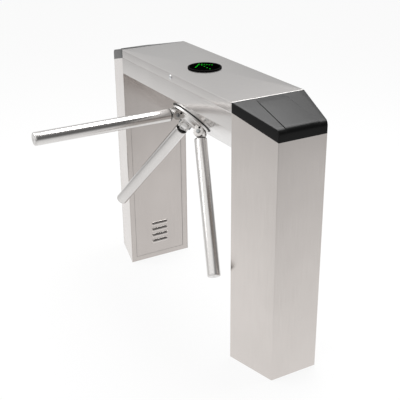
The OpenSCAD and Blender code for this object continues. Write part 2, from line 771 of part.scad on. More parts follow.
module pivot_bolts() color("dimgray") for (turn = arm_turns) arm_plane(turn)
    translate([pivot_rad, pivot_t, 0]) {
    translate([0, 0, -ear_x - ear_t]) cylinder(r = pivot_d / 2, h = 2 * (ear_x + ear_t));
    difference() {
        translate([0, 0, ear_x + ear_t]) cylinder(r = bolt_head_r, h = bolt_head_t);
        translate([0, 0, ear_x + ear_t + bolt_head_t - socket_deep])
            cylinder(r = socket_r, h = socket_deep + over, $fn = 6);
    }
    translate([0, 0, -ear_x - ear_t - bolt_head_t]) cylinder(r = nut_across_r, h = bolt_head_t, $fn = 6);
}
module arm_plungers() color("black") for (turn = arm_turns) arm_plane(turn) {
    across(ear_x + seat_gap, ear_t - seat_gap + lock_proud) lock_place() circle(r = lock_r);
    across(-ear_x - ear_t - lock_proud, ear_t - seat_gap + lock_proud) lock_place() circle(r = lock_r);
}

// Arms: knuckle with neck and spigot, rubber gasket, tube, end plug
neck_r = 12;
neck_at = 17;
gasket_at = 24.5;
gasket_w = 2;
gasket_inset = 0.5;
arm_r = arm_d / 2;
tube_at = pivot_at + gasket_at + gasket_w;
spigot_gap = 0.1;
spigot_r = arm_r - arm_wall - spigot_gap;
spigot_len = 45;
pivot_gap = 0.15;
plug_t = 7;
plug_round = 5;
plug_in = 30;
tube_end = arm_len - plug_t;
module knuckle(turn) arm_frame(turn) difference() {
    union() {
        translate([-tongue_w / 2, 0, pivot_at]) rotate([0, 90, 0]) cylinder(r = tongue_r, h = tongue_w);
        translate([-tongue_w / 2, -neck_r, pivot_at]) cube([tongue_w, 2 * neck_r, neck_at]);
        translate([0, 0, pivot_at + neck_at]) cylinder(r = neck_r, h = gasket_at + gasket_w - neck_at);
        translate([0, 0, tube_at]) cylinder(r = spigot_r, h = spigot_len);
    }
    translate([-tongue_w / 2 - over, 0, pivot_at]) rotate([0, 90, 0])
        cylinder(r = pivot_d / 2 + pivot_gap, h = tongue_w + over + over);
}
module arm_gasket(turn) arm_frame(turn)
    tube(arm_r - gasket_inset, neck_r + run_gap, pivot_at + gasket_at, tube_at);
module arm_tube(turn) arm_frame(turn) tube(arm_r, arm_r - arm_wall, tube_at, tube_end);
module arm_plug(turn) arm_frame(turn) {
    translate([0, 0, tube_end - plug_in]) cylinder(r = spigot_r, h = plug_in);
    translate([0, 0, tube_end]) cylinder(r = arm_r, h = plug_t - plug_round);
    translate([0, 0, tube_end]) cylinder(r = arm_r - plug_round, h = plug_t);
    translate([0, 0, tube_end + plug_t - plug_round]) rotate_extrude()
        intersection() {
            translate([arm_r - plug_round, 0]) circle(r = plug_round);
            square([arm_r, plug_round]);
        }
}
lower_turns = [arm_turns[1], arm_turns[2]];
module lower_arm_knuckles() color("silver") for (turn = lower_turns) knuckle(turn);
module lower_arm_gaskets() color("black") for (turn = lower_turns) arm_gasket(turn);
module lower_arm_tubes() color("silver") for (turn = lower_turns) arm_tube(turn);
module lower_arm_plugs() color("silver") for (turn = lower_turns) arm_plug(turn);
module barrier_knuckle() color("silver") knuckle(arm_turns[0]);
module barrier_gasket() color("black") arm_gasket(arm_turns[0]);
module barrier_tube() color("silver") arm_tube(arm_turns[0]);
module barrier_plug() color("silver") arm_plug(arm_turns[0]);

// Lid: a shallow folded box over the bridge; it turns up about the hinges at the back
lid_gap = 0.5;
lid_half = half_len - lid_gap;
lid_low = seam_z + seat_gap;
bezel_seat = 14;
lid_hole_r = bezel_d / 2 - bezel_seat;
lock_bore_r = 7.8;
lock_plug_r = 7.5;
lock_head_r = 9;
lock_head_t = 2;
lid_lock_up = 20;
lid_lock_z = seam_z + lid_lock_up;
cam_w = 10;
cam_t = 3;
cam_clear = 2;
cam_in = in_d - flange_w - cam_clear;
cam_len = 26;
module lid_panel() color("silver") difference() {
    translate([-lid_half, -half_d, lid_low]) cube([2 * lid_half, depth, total_h - lid_low]);
    translate([-lid_half + sheet_t, -in_d, lid_low - over])
        cube([2 * (lid_half - sheet_t), 2 * in_d, total_h - lid_low - sheet_t + over]);
    translate([0, 0, total_h - sheet_t - over]) cylinder(r = lid_hole_r, h = sheet_t + over + over);
    translate([0, -half_d - over, lid_lock_z]) rotate([-90, 0, 0])
        cylinder(r = lock_bore_r, h = sheet_t + over + over);
}
module lid_hinge_leaves() color("gray") lid_hinge_places() difference() {
    hinge_leaf(1, -barrel_w / 2, barrel_w);
    knuckle_bore(run_gap);
}
// Cam lock: head outside, plug through the sheet, cam behind; drawn along Z with the cam towards -Y
module cam_lock(reach, from_cam) difference() {
    union() {
        translate([0, 0, -lock_head_t - seat_gap]) cylinder(r = lock_head_r, h = lock_head_t);
        translate([0, 0, -seat_gap]) cylinder(r = lock_plug_r, h = from_cam + cam_t + seat_gap);
        translate([-cam_w / 2, -reach, from_cam]) cube([cam_w, reach, cam_t]);
    }
    translate([-over / 2, -lock_plug_r / 2, -lock_head_t - seat_gap - over])
        cube([over, lock_plug_r, over + over]);
}
module lid_lock() color("gray") translate([0, -half_d, lid_lock_z]) rotate([-90, 0, 0])
    rotate([0, 0, 180]) cam_lock(cam_len, half_d - cam_in);
// Keeper for the lid's cam, on the front panel's flange
keeper_clear = 5;
keeper_x = cam_len + keeper_clear;
keeper_t = 2.5;
keeper_ahead = 3;
keeper_behind = 5;
keeper_y0 = -cam_in - keeper_ahead;
keeper_y1 = -cam_in + keeper_behind;
keeper_z = lid_lock_z + cam_w / 2 + seat_gap;
module lid_keeper() {
    translate([keeper_x, keeper_y0, seam_z - sheet_t])
        cube([keeper_t, keeper_y1 - keeper_y0, keeper_z - seam_z + sheet_t]);
    translate([cam_len - cam_w, keeper_y0, keeper_z])
        cube([keeper_x + keeper_t - cam_len + cam_w, keeper_y1 - keeper_y0, keeper_t]);
}

// Indicator: round bezel in the lid with a dark lens and an arrow of light dots
bezel_r = bezel_d / 2;
bezel_round = 2;
lens_r = bezel_r - bezel_rim;
lens_drop = 0.6;
bezel_floor = 1.5;
well_r = lid_hole_r - seat_gap;
well_wall = 2.5;
well_deep = 8;
board_t = 1.6;
led_shift = 2;
arrow_tip = -led_shift - led_step * (led_count - 1) / 2;
led_places = concat([for (k = [0 : led_count - 1]) [arrow_tip + k * led_step, 0]],
    [for (k = [1 : barb_count], s = [-1, 1])
        [arrow_tip + k * led_step * diag_sin, s * k * led_step * diag_sin]]);
module indicator_bezel() color([0.06, 0.06, 0.06]) translate([0, 0, total_h]) difference() {
    union() {
        cylinder(r = bezel_r, h = bezel_h - bezel_round);
        cylinder(r = bezel_r - bezel_round, h = bezel_h);
        translate([0, 0, bezel_h - bezel_round]) rotate_extrude() intersection() {
            translate([bezel_r - bezel_round, 0]) circle(r = bezel_round);
            square([bezel_r, bezel_round]);
        }
        translate([0, 0, -well_deep]) cylinder(r = well_r, h = well_deep);
    }
    translate([0, 0, bezel_floor]) cylinder(r = lens_r, h = bezel_h);
    translate([0, 0, -well_deep - over])
        cylinder(r = well_r - well_wall, h = well_deep + bezel_floor + over + over);
}
module indicator_lens() color([0.12, 0.12, 0.13]) translate([0, 0, total_h]) difference() {
    translate([0, 0, bezel_floor]) cylinder(r = lens_r - run_gap, h = bezel_h - bezel_floor - lens_drop);
    for (p = led_places) translate([p[0], p[1], bezel_floor - over])
        cylinder(r = led_d / 2 + run_gap, h = bezel_h + over, $fn = 24);
}
module arrow_leds() color("lime") for (p = led_places)
    translate([p[0], p[1], total_h - well_deep + board_t + over])
    cylinder(r = led_d / 2, h = well_deep - board_t - over + bezel_h - lens_drop / 2, $fn = 24);
module indicator_board() color("green") translate([0, 0, total_h - well_deep + over])
    cylinder(r = well_r - well_wall - seat_gap, h = board_t);

// Doors: flush sheet with folded edges, louvres low down and a cam lock near the front edge
door_face_z0 = door_z + door_gap;
door_face_z1 = door_z1 - door_gap;
door_face_y0 = door_y0 + door_gap;
door_face_y1 = door_y1 - hinge_gap;
hood_t = 1.3;
door_lock_in = 20;
door_lock_y = door_y0 + door_lock_in;
door_lock_z = 375;
door_cam_len = 30;
module louvre(z, cut) {
    low = z - louvre_h / 2;
    high = z + louvre_h / 2;
    drop = cut ? over : 0;
    out = cut ? louvre_out - hood_t : louvre_out;
    top = cut ? high - 2 * hood_t : high;
    w = cut ? louvre_w - 2 * hood_t : louvre_w;
    translate([0, w / 2, 0]) rotate([90, 0, 0]) linear_extrude(height = w)
        polygon([[0, top], [-out, low - drop], [0, low - drop]]);
    if (cut) translate([-seat_gap, -w / 2, low + hood_t]) cube([sheet_t + over, w, louvre_h / 2]);
}
module louvres(cut) {
    for (k = [0 : louvre_count - 1]) louvre(louvre_z + k * louvre_step, cut);
}
module door_panel() difference() {
    union() {
        translate([0, door_face_y0, door_face_z0])
            cube([sheet_t, door_face_y1 - door_face_y0, door_face_z1 - door_face_z0]);
        translate([0, door_face_y0, door_face_z0]) cube([fold_d, sheet_t, door_face_z1 - door_face_z0]);
        for (z = [door_face_z0, door_face_z1 - sheet_t])
            translate([0, door_face_y0, z]) cube([fold_d, door_face_y1 - door_face_y0, sheet_t]);
        louvres(false);
    }
    louvres(true);
    for (z = [door_face_z0 - over, door_face_z1 - sheet_t - over])
        translate([pin_in, pin_y, z]) cylinder(r = pin_r + run_gap, h = sheet_t + over + over);
    translate([-over, door_lock_y, door_lock_z]) rotate([0, 90, 0])
        cylinder(r = lock_bore_r, h = sheet_t + over + over);
}
module near_door_panel() color("silver") at_column(1) door_panel();
module far_door_panel() color("silver") at_column(-1) door_panel();
module door_lock() translate([0, door_lock_y, door_lock_z]) rotate([0, 90, 0]) rotate([0, 0, 90])
    cam_lock(door_cam_len, sheet_t + fold_d + seat_gap);
module near_door_lock() color("gray") at_column(1) door_lock();
module far_door_lock() color("gray") at_column(-1) door_lock();

// Electrics in the bridge, on the back panel
pcb_w = 160;
pcb_h = 140;
// Room between the boxes of the electrics and the bridge's ends
end_room = 57;
pcb_x = half_len - end_room - pcb_w;
pcb_up = 42;
pcb_z = under_z + pcb_up;
pcb_stand = 10;
pcb_stand_r = 3;
pcb_inset = 8;
block_w = 120;
block_h = 14;
block_d = 12;
pcb_y = in_d - pcb_stand - board_t;
block_x = pcb_x + (pcb_w - block_w) / 2;
module control_board() color("seagreen") {
    translate([pcb_x, pcb_y, pcb_z]) cube([pcb_w, board_t, pcb_h]);
    for (z = [pcb_z, pcb_z + pcb_h - block_h])
        translate([block_x, pcb_y - block_d, z]) cube([block_w, block_d, block_h]);
    translate([pcb_x + pcb_w / 2, pcb_y - block_d / 2, pcb_z + pcb_h / 2 - block_h])
        cube([2 * block_h, block_d / 2, 2 * block_h]);
    for (x = [pcb_inset, pcb_w - pcb_inset], z = [pcb_inset, pcb_h - pcb_inset])
        translate([pcb_x + x, in_d, pcb_z + z]) rotate([90, 0, 0]) cylinder(r = pcb_stand_r, h = pcb_stand);
}
psu_w = 140;
psu_h = 100;
psu_d = 50;
psu_x = -half_len + end_room;
psu_up = 52;
psu_z = under_z + psu_up;
vent_w = 3;
vent_count = 9;
module power_supply() color("lightgray") difference() {
    translate([psu_x, in_d - psu_d, psu_z]) cube([psu_w, psu_d, psu_h]);
    for (k = [1 : vent_count])
        translate([psu_x + k * psu_w / (vent_count + 1) - vent_w / 2, in_d - psu_d - over, psu_z + psu_h / 4])
            cube([vent_w, over + over, psu_h / 2]);
}
// Cables inside the bridge: straight runs with round corners, from end to end
cable_r = 3.5;
run_in = 22;
run_up = 21;
run_y = in_d - run_in;
run_z = under_z + run_up;
run_end_y = pcb_y - block_d / 2;
function hub_point(x, u, t) = [x, hub_y - diag_sin * (t + u), hub_z - diag_sin * (t - u)];
// Where the cables enter the board's terminal blocks, as shares of a block's length
port_shares = [0.15, 0.45, 0.6];
port_x = [for (share = port_shares) block_x + block_w * share];
// Straight stretch square to the face that a cable leaves
run_straight = 12;
run_out = [run_straight, 0, 0];
supply_reach = 50;
supply_side = [psu_x + psu_w, run_y, psu_z + psu_h / 4];
supply_run = [supply_side, supply_side + run_out, [psu_x + psu_w + supply_reach, run_y, run_z],
    [port_x[0], run_end_y, run_z], [port_x[0], run_end_y, pcb_z]];
motor_port_t = -30;
motor_bend = [45, 17, -17];
motor_turn_x = 180;
motor_turn_in = 12;
motor_side = hub_point(drive_x + motor_r, 0, motor_port_t);
motor_run = [motor_side, motor_side + run_out, motor_side + motor_bend,
    [motor_turn_x, half_d / 2 - motor_turn_in, run_z], [port_x[1], run_end_y, run_z],
    [port_x[1], run_end_y, pcb_z]];
sensor_port_u = 42;
sensor_port_in = 5;
sensor_bend = [52, 44, 0];
sensor_turn = [0, -20, 24];
sensor_drop = 14;
sensor_side = hub_point(sensor_w / 2, sensor_port_u, rear_low - sensor_port_in);
sensor_run = [sensor_side, sensor_side + run_out, sensor_side + sensor_bend,
    [block_x, run_end_y, pcb_z + pcb_h] + sensor_turn, [port_x[2], run_end_y, pcb_z + pcb_h + sensor_drop],
    [port_x[2], run_end_y, pcb_z + pcb_h]];
cable_sides = 8;
function unit(v) = v / norm(v);
// Ring of a cable at point i: square to the run at its ends, and on the bisector at its corners
function cable_ring(pts, i) = let (
    back = unit(pts[max(i, 1)] - pts[max(i, 1) - 1]),
    ahead = unit(pts[min(i, len(pts) - 2) + 1] - pts[min(i, len(pts) - 2)]),
    t = unit(back + ahead), u = unit(cross(t, [0, 1, 0])), v = cross(t, u))
    [for (k = [0 : cable_sides - 1], a = k * 360 / cable_sides) pts[i] + cable_r * (cos(a) * u + sin(a) * v)];
module cable(pts) {
    n = cable_sides;
    last = len(pts) - 1;
    polyhedron(points = [for (i = [0 : last], p = cable_ring(pts, i)) p],
        faces = concat([[for (k = [0 : n - 1]) k]], [[for (k = [n - 1 : -1 : 0]) last * n + k]],
            [for (i = [0 : last - 1], k = [0 : n - 1])
                [i * n + k, (i + 1) * n + k, (i + 1) * n + (k + 1) % n, i * n + (k + 1) % n]]));
}
module wiring_harness() color([0.15, 0.15, 0.15]) {
    cable(supply_run);
    cable(motor_run);
    cable(sensor_run);
}
clip_w = 10;
clip_at = 100;
module cable_clips() color("white") for (x = [-clip_at, 0, clip_at])
    translate([x - clip_w / 2, run_y - clip_w / 2, under_z + sheet_t])
        cube([clip_w, clip_w, run_z - cable_r - seat_gap - under_z - sheet_t]);
grommet_lip = 3;
module cable_grommets() color([0.1, 0.1, 0.1]) both_columns()
    translate([0, passage_y, passage_z]) rotate([0, 90, 0]) {
    translate([0, 0, -sheet_t]) cylinder(r = passage_d / 2 + grommet_lip, h = sheet_t);
    cylinder(r = passage_d / 2 - run_gap, h = sheet_t);
    translate([0, 0, sheet_t]) cylinder(r = passage_d / 2 + grommet_lip, h = sheet_t);
}

base_plates();
near_column_shell();
far_column_shell();
near_inner_panel();
far_inner_panel();
bridge_front_panel();
bridge_back_panel();
near_end_cap();
far_end_cap();
hinge_pins();
lid_hinge_barrels();
hub_seal_ring();
mechanism_plate();
frame_standoffs();
rear_plate();
bearing_housing();
bearing_outer_rings();
drive_motor();
pawl_pins();
lock_solenoids();
encoder_sensor();
control_board();
power_supply();
wiring_harness();
cable_clips();
cable_grommets();
lid_panel();
lid_hinge_leaves();
indicator_bezel();
indicator_lens();
arrow_leds();
indicator_board();
lid_lock();
near_door_panel();
far_door_panel();
near_door_lock();
far_door_lock();
main_shaft();
bearing_inner_rings();
hub_flange();
hub_body();
shaft_fasteners();
pivot_bolts();
arm_plungers();
main_gear();
index_wheel();
encoder_disc();
lower_arm_knuckles();
lower_arm_tubes();
lower_arm_gaskets();
lower_arm_plugs();
barrier_knuckle();
barrier_gasket();
barrier_tube();
barrier_plug();
drive_pinion();
near_pawl();
far_pawl();
near_plunger();
far_plunger();
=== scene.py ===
# %% [markdown]
# # A tripod turnstile in satin stainless steel
# The real object is a bridge of folded sheet steel on two tapered columns. Three arms stand on a hub that
# turns on a slanted face, so that one arm always lies level across the passage. The mechanical model arrives
# as a fixed frame of named nodes. Everything made here is laid on it in metres and rides on its bodies.

# %% Load the frame
import bpy
import bmesh
import json
import math
import numpy as np
from mathutils import Matrix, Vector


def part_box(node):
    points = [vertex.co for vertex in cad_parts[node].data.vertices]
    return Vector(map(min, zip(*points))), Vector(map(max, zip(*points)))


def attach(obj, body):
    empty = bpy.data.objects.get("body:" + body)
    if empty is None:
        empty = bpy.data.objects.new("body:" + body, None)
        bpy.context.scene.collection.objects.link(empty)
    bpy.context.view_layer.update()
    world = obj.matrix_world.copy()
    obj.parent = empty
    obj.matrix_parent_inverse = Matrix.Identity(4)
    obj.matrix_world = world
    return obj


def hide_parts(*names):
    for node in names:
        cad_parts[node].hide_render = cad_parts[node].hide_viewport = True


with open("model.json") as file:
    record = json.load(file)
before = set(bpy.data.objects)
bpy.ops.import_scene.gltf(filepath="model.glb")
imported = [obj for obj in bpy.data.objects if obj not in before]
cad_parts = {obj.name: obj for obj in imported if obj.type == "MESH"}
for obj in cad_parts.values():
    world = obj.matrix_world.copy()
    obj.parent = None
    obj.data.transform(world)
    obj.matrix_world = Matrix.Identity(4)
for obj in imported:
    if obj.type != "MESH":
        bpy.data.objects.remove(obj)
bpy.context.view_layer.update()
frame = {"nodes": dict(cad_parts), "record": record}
nodes = frame["nodes"]
mm = 0.001

# %% [markdown]
# ## Camera
# The photograph looks down on the turnstile from its right front corner. The camera turns round the object by
# an azimuth, rises by an elevation and leans by a small roll. Three vectors worked out from those angles give
# its matrix, which is easier to read than stacked rotations.

# %% Camera
scene = bpy.context.scene
scene.view_settings.view_transform = "Standard"
azimuth = math.radians(60.79)
elevation = math.radians(23.88)
roll = math.radians(-0.63)
photo_size = 400
focal_pixels = 812.9
sensor_width = 36.0
camera_place = np.array([2.582, -1.470, 1.756])


def camera_axes(azimuth, elevation, roll):
    """Right, up and back vectors of a camera: spherical angles, then a turn about the view axis."""
    back = np.array([math.sin(azimuth) * math.cos(elevation), -math.cos(azimuth) * math.cos(elevation),
                     math.sin(elevation)])
    right = np.array([math.cos(azimuth), math.sin(azimuth), 0.0])
    up = np.cross(back, right)
    return right * math.cos(roll) + up * math.sin(roll), up * math.cos(roll) - right * math.sin(roll), back


camera_data = bpy.data.cameras.new("photo_camera")
camera_data.sensor_width = sensor_width
camera_data.lens = sensor_width * focal_pixels / photo_size
camera = bpy.data.objects.new("photo_camera", camera_data)
scene.collection.objects.link(camera)
camera_matrix = np.eye(4)
camera_matrix[:3, :3] = np.column_stack(camera_axes(azimuth, elevation, roll))
camera_matrix[:3, 3] = camera_place
camera.matrix_world = Matrix(camera_matrix.tolist())
scene.camera = camera
print("lens:", round(camera_data.lens, 2), "mm")

# %% [markdown]
# ## Colours and shader nodes
# Colours are written as sRGB hex values, as on a paint card. Blender's shaders want linear light, so one
# function turns them. Another adds any shader node with its settings and its links.

# %% Colour and node helpers


def linear(hex_colour):
    """sRGB hex to linear RGBA: below 0.04045 divide by 12.92, above it ((c + 0.055) / 1.055) to the 2.4."""
    srgb = np.array([int(hex_colour[i:i + 2], 16) / 255 for i in (1, 3, 5)])
    low = srgb / 12.92
    high = ((srgb + 0.055) / 1.055) ** 2.4
    return tuple(np.where(srgb <= 0.04045, low, high)) + (1.0,)


def empty_tree(owner):
    """Switches on the nodes of a material or a world and clears them."""
    owner.use_nodes = True
    owner.node_tree.nodes.clear()
    return owner.node_tree


def add(tree, kind, links=None, **settings):
    """Adds a node; kind is its Blender type after "ShaderNode", and a setting is a socket's value or an
    attribute. links fills sockets, by name or number, from a node's first output, an output or a value."""
    node = tree.nodes.new("ShaderNode" + kind)
    for key, value in settings.items():
        if hasattr(node, key):
            setattr(node, key, value)
        else:
            node.inputs[key.replace("_", " ")].default_value = value
    for key, source in (links or {}).items():
        if isinstance(source, bpy.types.Node):
            source = source.outputs[0]
        if isinstance(source, bpy.types.NodeSocket):
            tree.links.new(source, node.inputs[key])
        else:
            node.inputs[key].default_value = source
    return node


print("mid grey in linear light:", round(linear("#808080")[0], 3))

# %% [markdown]
# ## Studio
# Product pictures of steel are made in a white tent: the metal shows what stands round it. The world is the
# tent. It is brightest overhead and darker beside the camera, because a dark band there gives round tubes
# their dark middle. Rays from the camera see plain white, so that the background stays clean.

# %% World
white = (1, 1, 1, 1)
tent_white = 0.57
tent_slopes = (-0.05, -0.3, 0.5)
dark_band_towards = (0.76, 0.44, 0.47)
dark_band_stops = [(0.62, 1.0), (0.95, 0.24)]
world = bpy.data.worlds.new("white_tent")
scene.world = world
tree = empty_tree(world)
direction = add(tree, "TexCoord").outputs["Generated"]
slope = add(tree, "VectorMath", {0: direction, 1: tent_slopes}, operation="DOT_PRODUCT")
height = add(tree, "Math", {0: slope.outputs["Value"], 1: tent_white}, operation="ADD")
camera_side = add(tree, "VectorMath", {0: direction, 1: dark_band_towards}, operation="DOT_PRODUCT")
dark = add(tree, "ValToRGB", {"Fac": camera_side.outputs["Value"]})
for element, (stop, grey) in zip(dark.color_ramp.elements, dark_band_stops):
    element.position = stop
    element.color = (grey, grey, grey, 1)
tent_light = add(tree, "Background", {"Color": dark, "Strength": height})
backdrop = add(tree, "Background", Color=white, Strength=1.0)
rays = add(tree, "LightPath")
picked = add(tree, "MixShader", {0: rays.outputs["Is Camera Ray"], 1: tent_light, 2: backdrop})
add(tree, "OutputWorld", {"Surface": picked})
print("world:", world.name)

# %% [markdown]
# Two large soft boxes add the shape. One hangs overhead, a little behind, and gives the arms their white
# upper band and the floor its soft shadow. The other stands at the front left and keeps the passage side
# open. Places and sizes are in metres, and power is in watts.

# %% Lamps


def soft_box(name, place, target, size, power):
    """An area lamp whose -Z axis looks from place to target."""
    lamp = bpy.data.lights.new(name, "AREA")
    lamp.shape = "RECTANGLE"
    lamp.size, lamp.size_y = size
    lamp.energy = power
    back = np.array(place, float) - np.array(target, float)
    back /= np.linalg.norm(back)
    right = np.cross([0, 0, 1], back)
    right /= np.linalg.norm(right)
    matrix = np.eye(4)
    matrix[:3, :3] = np.column_stack([right, np.cross(back, right), back])
    matrix[:3, 3] = place
    box = bpy.data.objects.new(name, lamp)
    scene.collection.objects.link(box)
    box.matrix_world = Matrix(matrix.tolist())
    return box


soft_box("top_box", place=(-0.05, 0.85, 2.9), target=(0, 0, 0.6), size=(2.1, 1.5), power=60)
soft_box("front_box", place=(-1.6, -2.6, 2.6), target=(0, 0, 0.5), size=(2.4, 1.6), power=34)
print("lamps:", len(bpy.data.lights))

# %% [markdown]
# The floor is a white sheet, matt to the lamps. Steel mirrors it: a column's face shows the near floor low
# down and the far floor high up. Rays that the steel reflects see a painted glow instead of the lit paper. It
# is painted light falloff that darkens with distance and a little to one side, as paper does away from its
# lamps, and it holds no shadow. Rays from the camera see it nearly white, with the object's soft shadow.

# %% Floor
floor_half = 12.0
floor_gap = 0.5 * mm
floor_mesh = bpy.data.meshes.new("studio_floor")
corners = np.array([(-1, -1), (1, -1), (1, 1), (-1, 1)]) * floor_half
floor_mesh.from_pydata([(x, y, -floor_gap) for x, y in corners], [], [(0, 1, 2, 3)])
floor = bpy.data.objects.new("studio_floor", floor_mesh)
scene.collection.objects.link(floor)
paper = bpy.data.materials.new("matt_white_paper")
tree = empty_tree(paper)
centre_white = 1.08
fall_per_metre = -0.117
side_fall = (-0.069, 0.046, 0)
dimmest = 0.35
camera_white = 0.85
paper_grey = (0.85, 0.85, 0.85, 1)
# Painted light: glossy rays see an emission that falls off with distance and to one side, with no shadow in
# it.
place = add(tree, "TexCoord").outputs["Object"]
reach = add(tree, "VectorMath", {0: place}, operation="LENGTH")
ahead = add(tree, "Math", {0: reach.outputs["Value"], 1: fall_per_metre, 2: centre_white},
            operation="MULTIPLY_ADD")
aside = add(tree, "VectorMath", {0: place, 1: side_fall}, operation="DOT_PRODUCT")
level = add(tree, "Math", {0: ahead, 1: aside.outputs["Value"]}, operation="ADD")
kept = add(tree, "Clamp", {"Value": level}, Min=dimmest, Max=1.0)
matt = add(tree, "BsdfPrincipled", Base_Color=paper_grey, Roughness=0.9, Specular_IOR_Level=0.1)
glow = add(tree, "Emission", Color=white, Strength=1.0)
painted_glow_for_mirrors = add(tree, "Emission", {"Strength": kept}, Color=white)
rays = add(tree, "LightPath")
seen = add(tree, "Math", {0: rays.outputs["Is Camera Ray"], 1: camera_white}, operation="MULTIPLY")
lit = add(tree, "MixShader", {0: seen, 1: matt, 2: glow})
shown = add(tree, "MixShader", {0: rays.outputs["Is Glossy Ray"], 1: lit, 2: painted_glow_for_mirrors})
add(tree, "OutputMaterial", {"Surface": shown})
floor_mesh.materials.append(paper)
print("floor:", 2 * floor_half, "m square")

# %% [markdown]
# ## Finishes
# Most finishes here are one colour with something fine on top: brushing marks, a moulded grain, the peel of a
# casting. One function makes them all: a noise stretched along the marks moves roughness and height, and a
# wide soft noise keeps large faces from looking computed. Constants stay on the shader's own sockets.

# %% Surface maker
cloud_size = 180


def surface(name, pale, deep, rough, marks, lift=0.0, **sockets):
    """Two near colours and two roughness values mixed by a noise. Its grains measure marks: one number in mm,
    or X, Y and Z. Their height is lift, in mm. The sockets go to the shader as they are."""
    material = bpy.data.materials.new(name)
    tree = empty_tree(material)
    place = add(tree, "TexCoord").outputs["Object"]
    scale = [1 / (size * mm) for size in np.broadcast_to(marks, 3).tolist()]
    stretch = add(tree, "Mapping", {"Vector": place, "Scale": scale})
    grain = add(tree, "TexNoise", {"Vector": stretch}, Scale=1.0, Detail=3.0)
    cloud = add(tree, "TexNoise", {"Vector": place}, Scale=1 / (cloud_size * mm), Detail=2.0)
    both = add(tree, "Math", {0: grain.outputs["Fac"], 1: cloud.outputs["Fac"]}, operation="ADD")
    level = add(tree, "MapRange", {"Value": both}, From_Min=0.75, From_Max=1.25)
    colour = add(tree, "Mix", {0: level, 6: linear(pale), 7: linear(deep)}, data_type="RGBA")
    gloss = add(tree, "MapRange", {"Value": level}, To_Min=rough[0], To_Max=rough[1])
    links = {"Base Color": colour.outputs[2], "Roughness": gloss}
    if lift:
        bump = add(tree, "Bump", {"Height": grain.outputs["Fac"]}, Strength=1.0, Distance=lift * mm)
        links["Normal"] = bump
    shader = add(tree, "BsdfPrincipled", links, **sockets)
    add(tree, "OutputMaterial", {"Surface": shader})
    return material


print("cloud size:", cloud_size, "mm")

# %% [markdown]
# ## Stainless steel
# The sheets are stainless steel, ground with a belt to a satin finish. The belt leaves fine parallel marks
# along the sheet. Real marks lie about 0.2 mm apart, which is too fine to show here, so they are drawn 1.6 mm
# apart. They run along X on the bridge and along Z on the columns. The tubes are polished finer, with no
# direction, and so mirror more.

# %% Steels
mark_gap = 1.6
mark_long = 90
mark_lift = 0.001
along_bridge = (mark_long, mark_gap, mark_gap)
upwards = (mark_gap, mark_gap, mark_long)
bridge_steel = surface("satin_stainless_along_bridge", "#D8D5D3", "#D3D0CE", rough=(0.17, 0.21),
                       marks=along_bridge, lift=mark_lift, Metallic=1.0)
column_steel = surface("satin_stainless_upright", "#D9D3CF", "#D4CECA", rough=(0.21, 0.25),
                       marks=upwards, lift=mark_lift, Metallic=1.0)
# Painted shade: the door and inner sheets are the same steel in darker colours, for the shade under the
# bridge.
inner_steel_painted_shade = surface("satin_stainless_doors_painted_shade", "#C4BEBA", "#BFB9B5", rough=(0.21, 0.25),
                      marks=upwards, lift=mark_lift, Metallic=1.0)
polished_steel = surface("polished_stainless_tube", "#DCDAD8", "#D3D0CE", rough=(0.14, 0.22),
                         marks=4.0, lift=mark_lift, Metallic=1.0)
print("steel marks:", mark_gap, "mm apart, materials:", len(bpy.data.materials))

# %% [markdown]
# ## Hub metals
# The hub is a cast aluminium body, bead blasted and clear anodised, with a fine even grain. Its ears are
# blasted steel, a shade darker. Inside the cabinet the plates are zinc plated, the housing is raw casting,
# and shafts and gears are machined steel.

# %% Metals
blast_grain, blast_lift = 1.2, 0.006
ear_steel = surface("blasted_steel_ears", "#D2CFCC", "#CBC8C5", rough=(0.34, 0.42),
                    marks=blast_grain, lift=blast_lift, Metallic=1.0)
hub_alloy = surface("blasted_anodised_aluminium", "#F0EEEC", "#EAE8E6", rough=(0.36, 0.44),
                    marks=blast_grain, lift=blast_lift, Metallic=1.0)
zinc = surface("zinc_plated_steel", "#C3C6C7", "#AEB2B6", rough=(0.32, 0.5),
               marks=14, lift=0.004, Metallic=1.0)
casting = surface("sand_cast_aluminium", "#A9AAA9", "#8E908F", rough=(0.5, 0.65),
                  marks=3.0, lift=0.08, Metallic=1.0)
machined = surface("machined_steel", "#B9BABB", "#9D9FA1", rough=(0.22, 0.34),
                   marks=0.8, lift=0.004, Metallic=1.0)
blackened = surface("blackened_steel_fasteners", "#A2A4A4", "#8E9091", rough=(0.34, 0.44),
                    marks=2.0, lift=0.004, Metallic=1.0)
chrome = surface("chromed_zinc_lock", "#E2E2E3", "#D8D8DA", rough=(0.08, 0.14), marks=4.0, Metallic=1.0)
print("materials so far:", len(bpy.data.materials))

# %% [markdown]
# ## Plastics and rubber
# The end caps are ABS moulded in a spark-eroded tool, which leaves a fine leather-like grain of about 1 mm
# and a soft sheen. The gaskets and the seal are black EPDM rubber, duller and smoother. The indicator is matt
# black ABS round a smoked acrylic disc, faced with an anti-glare film that swallows reflections. Inside are
# nylon clips, blue enamelled coils and green boards.

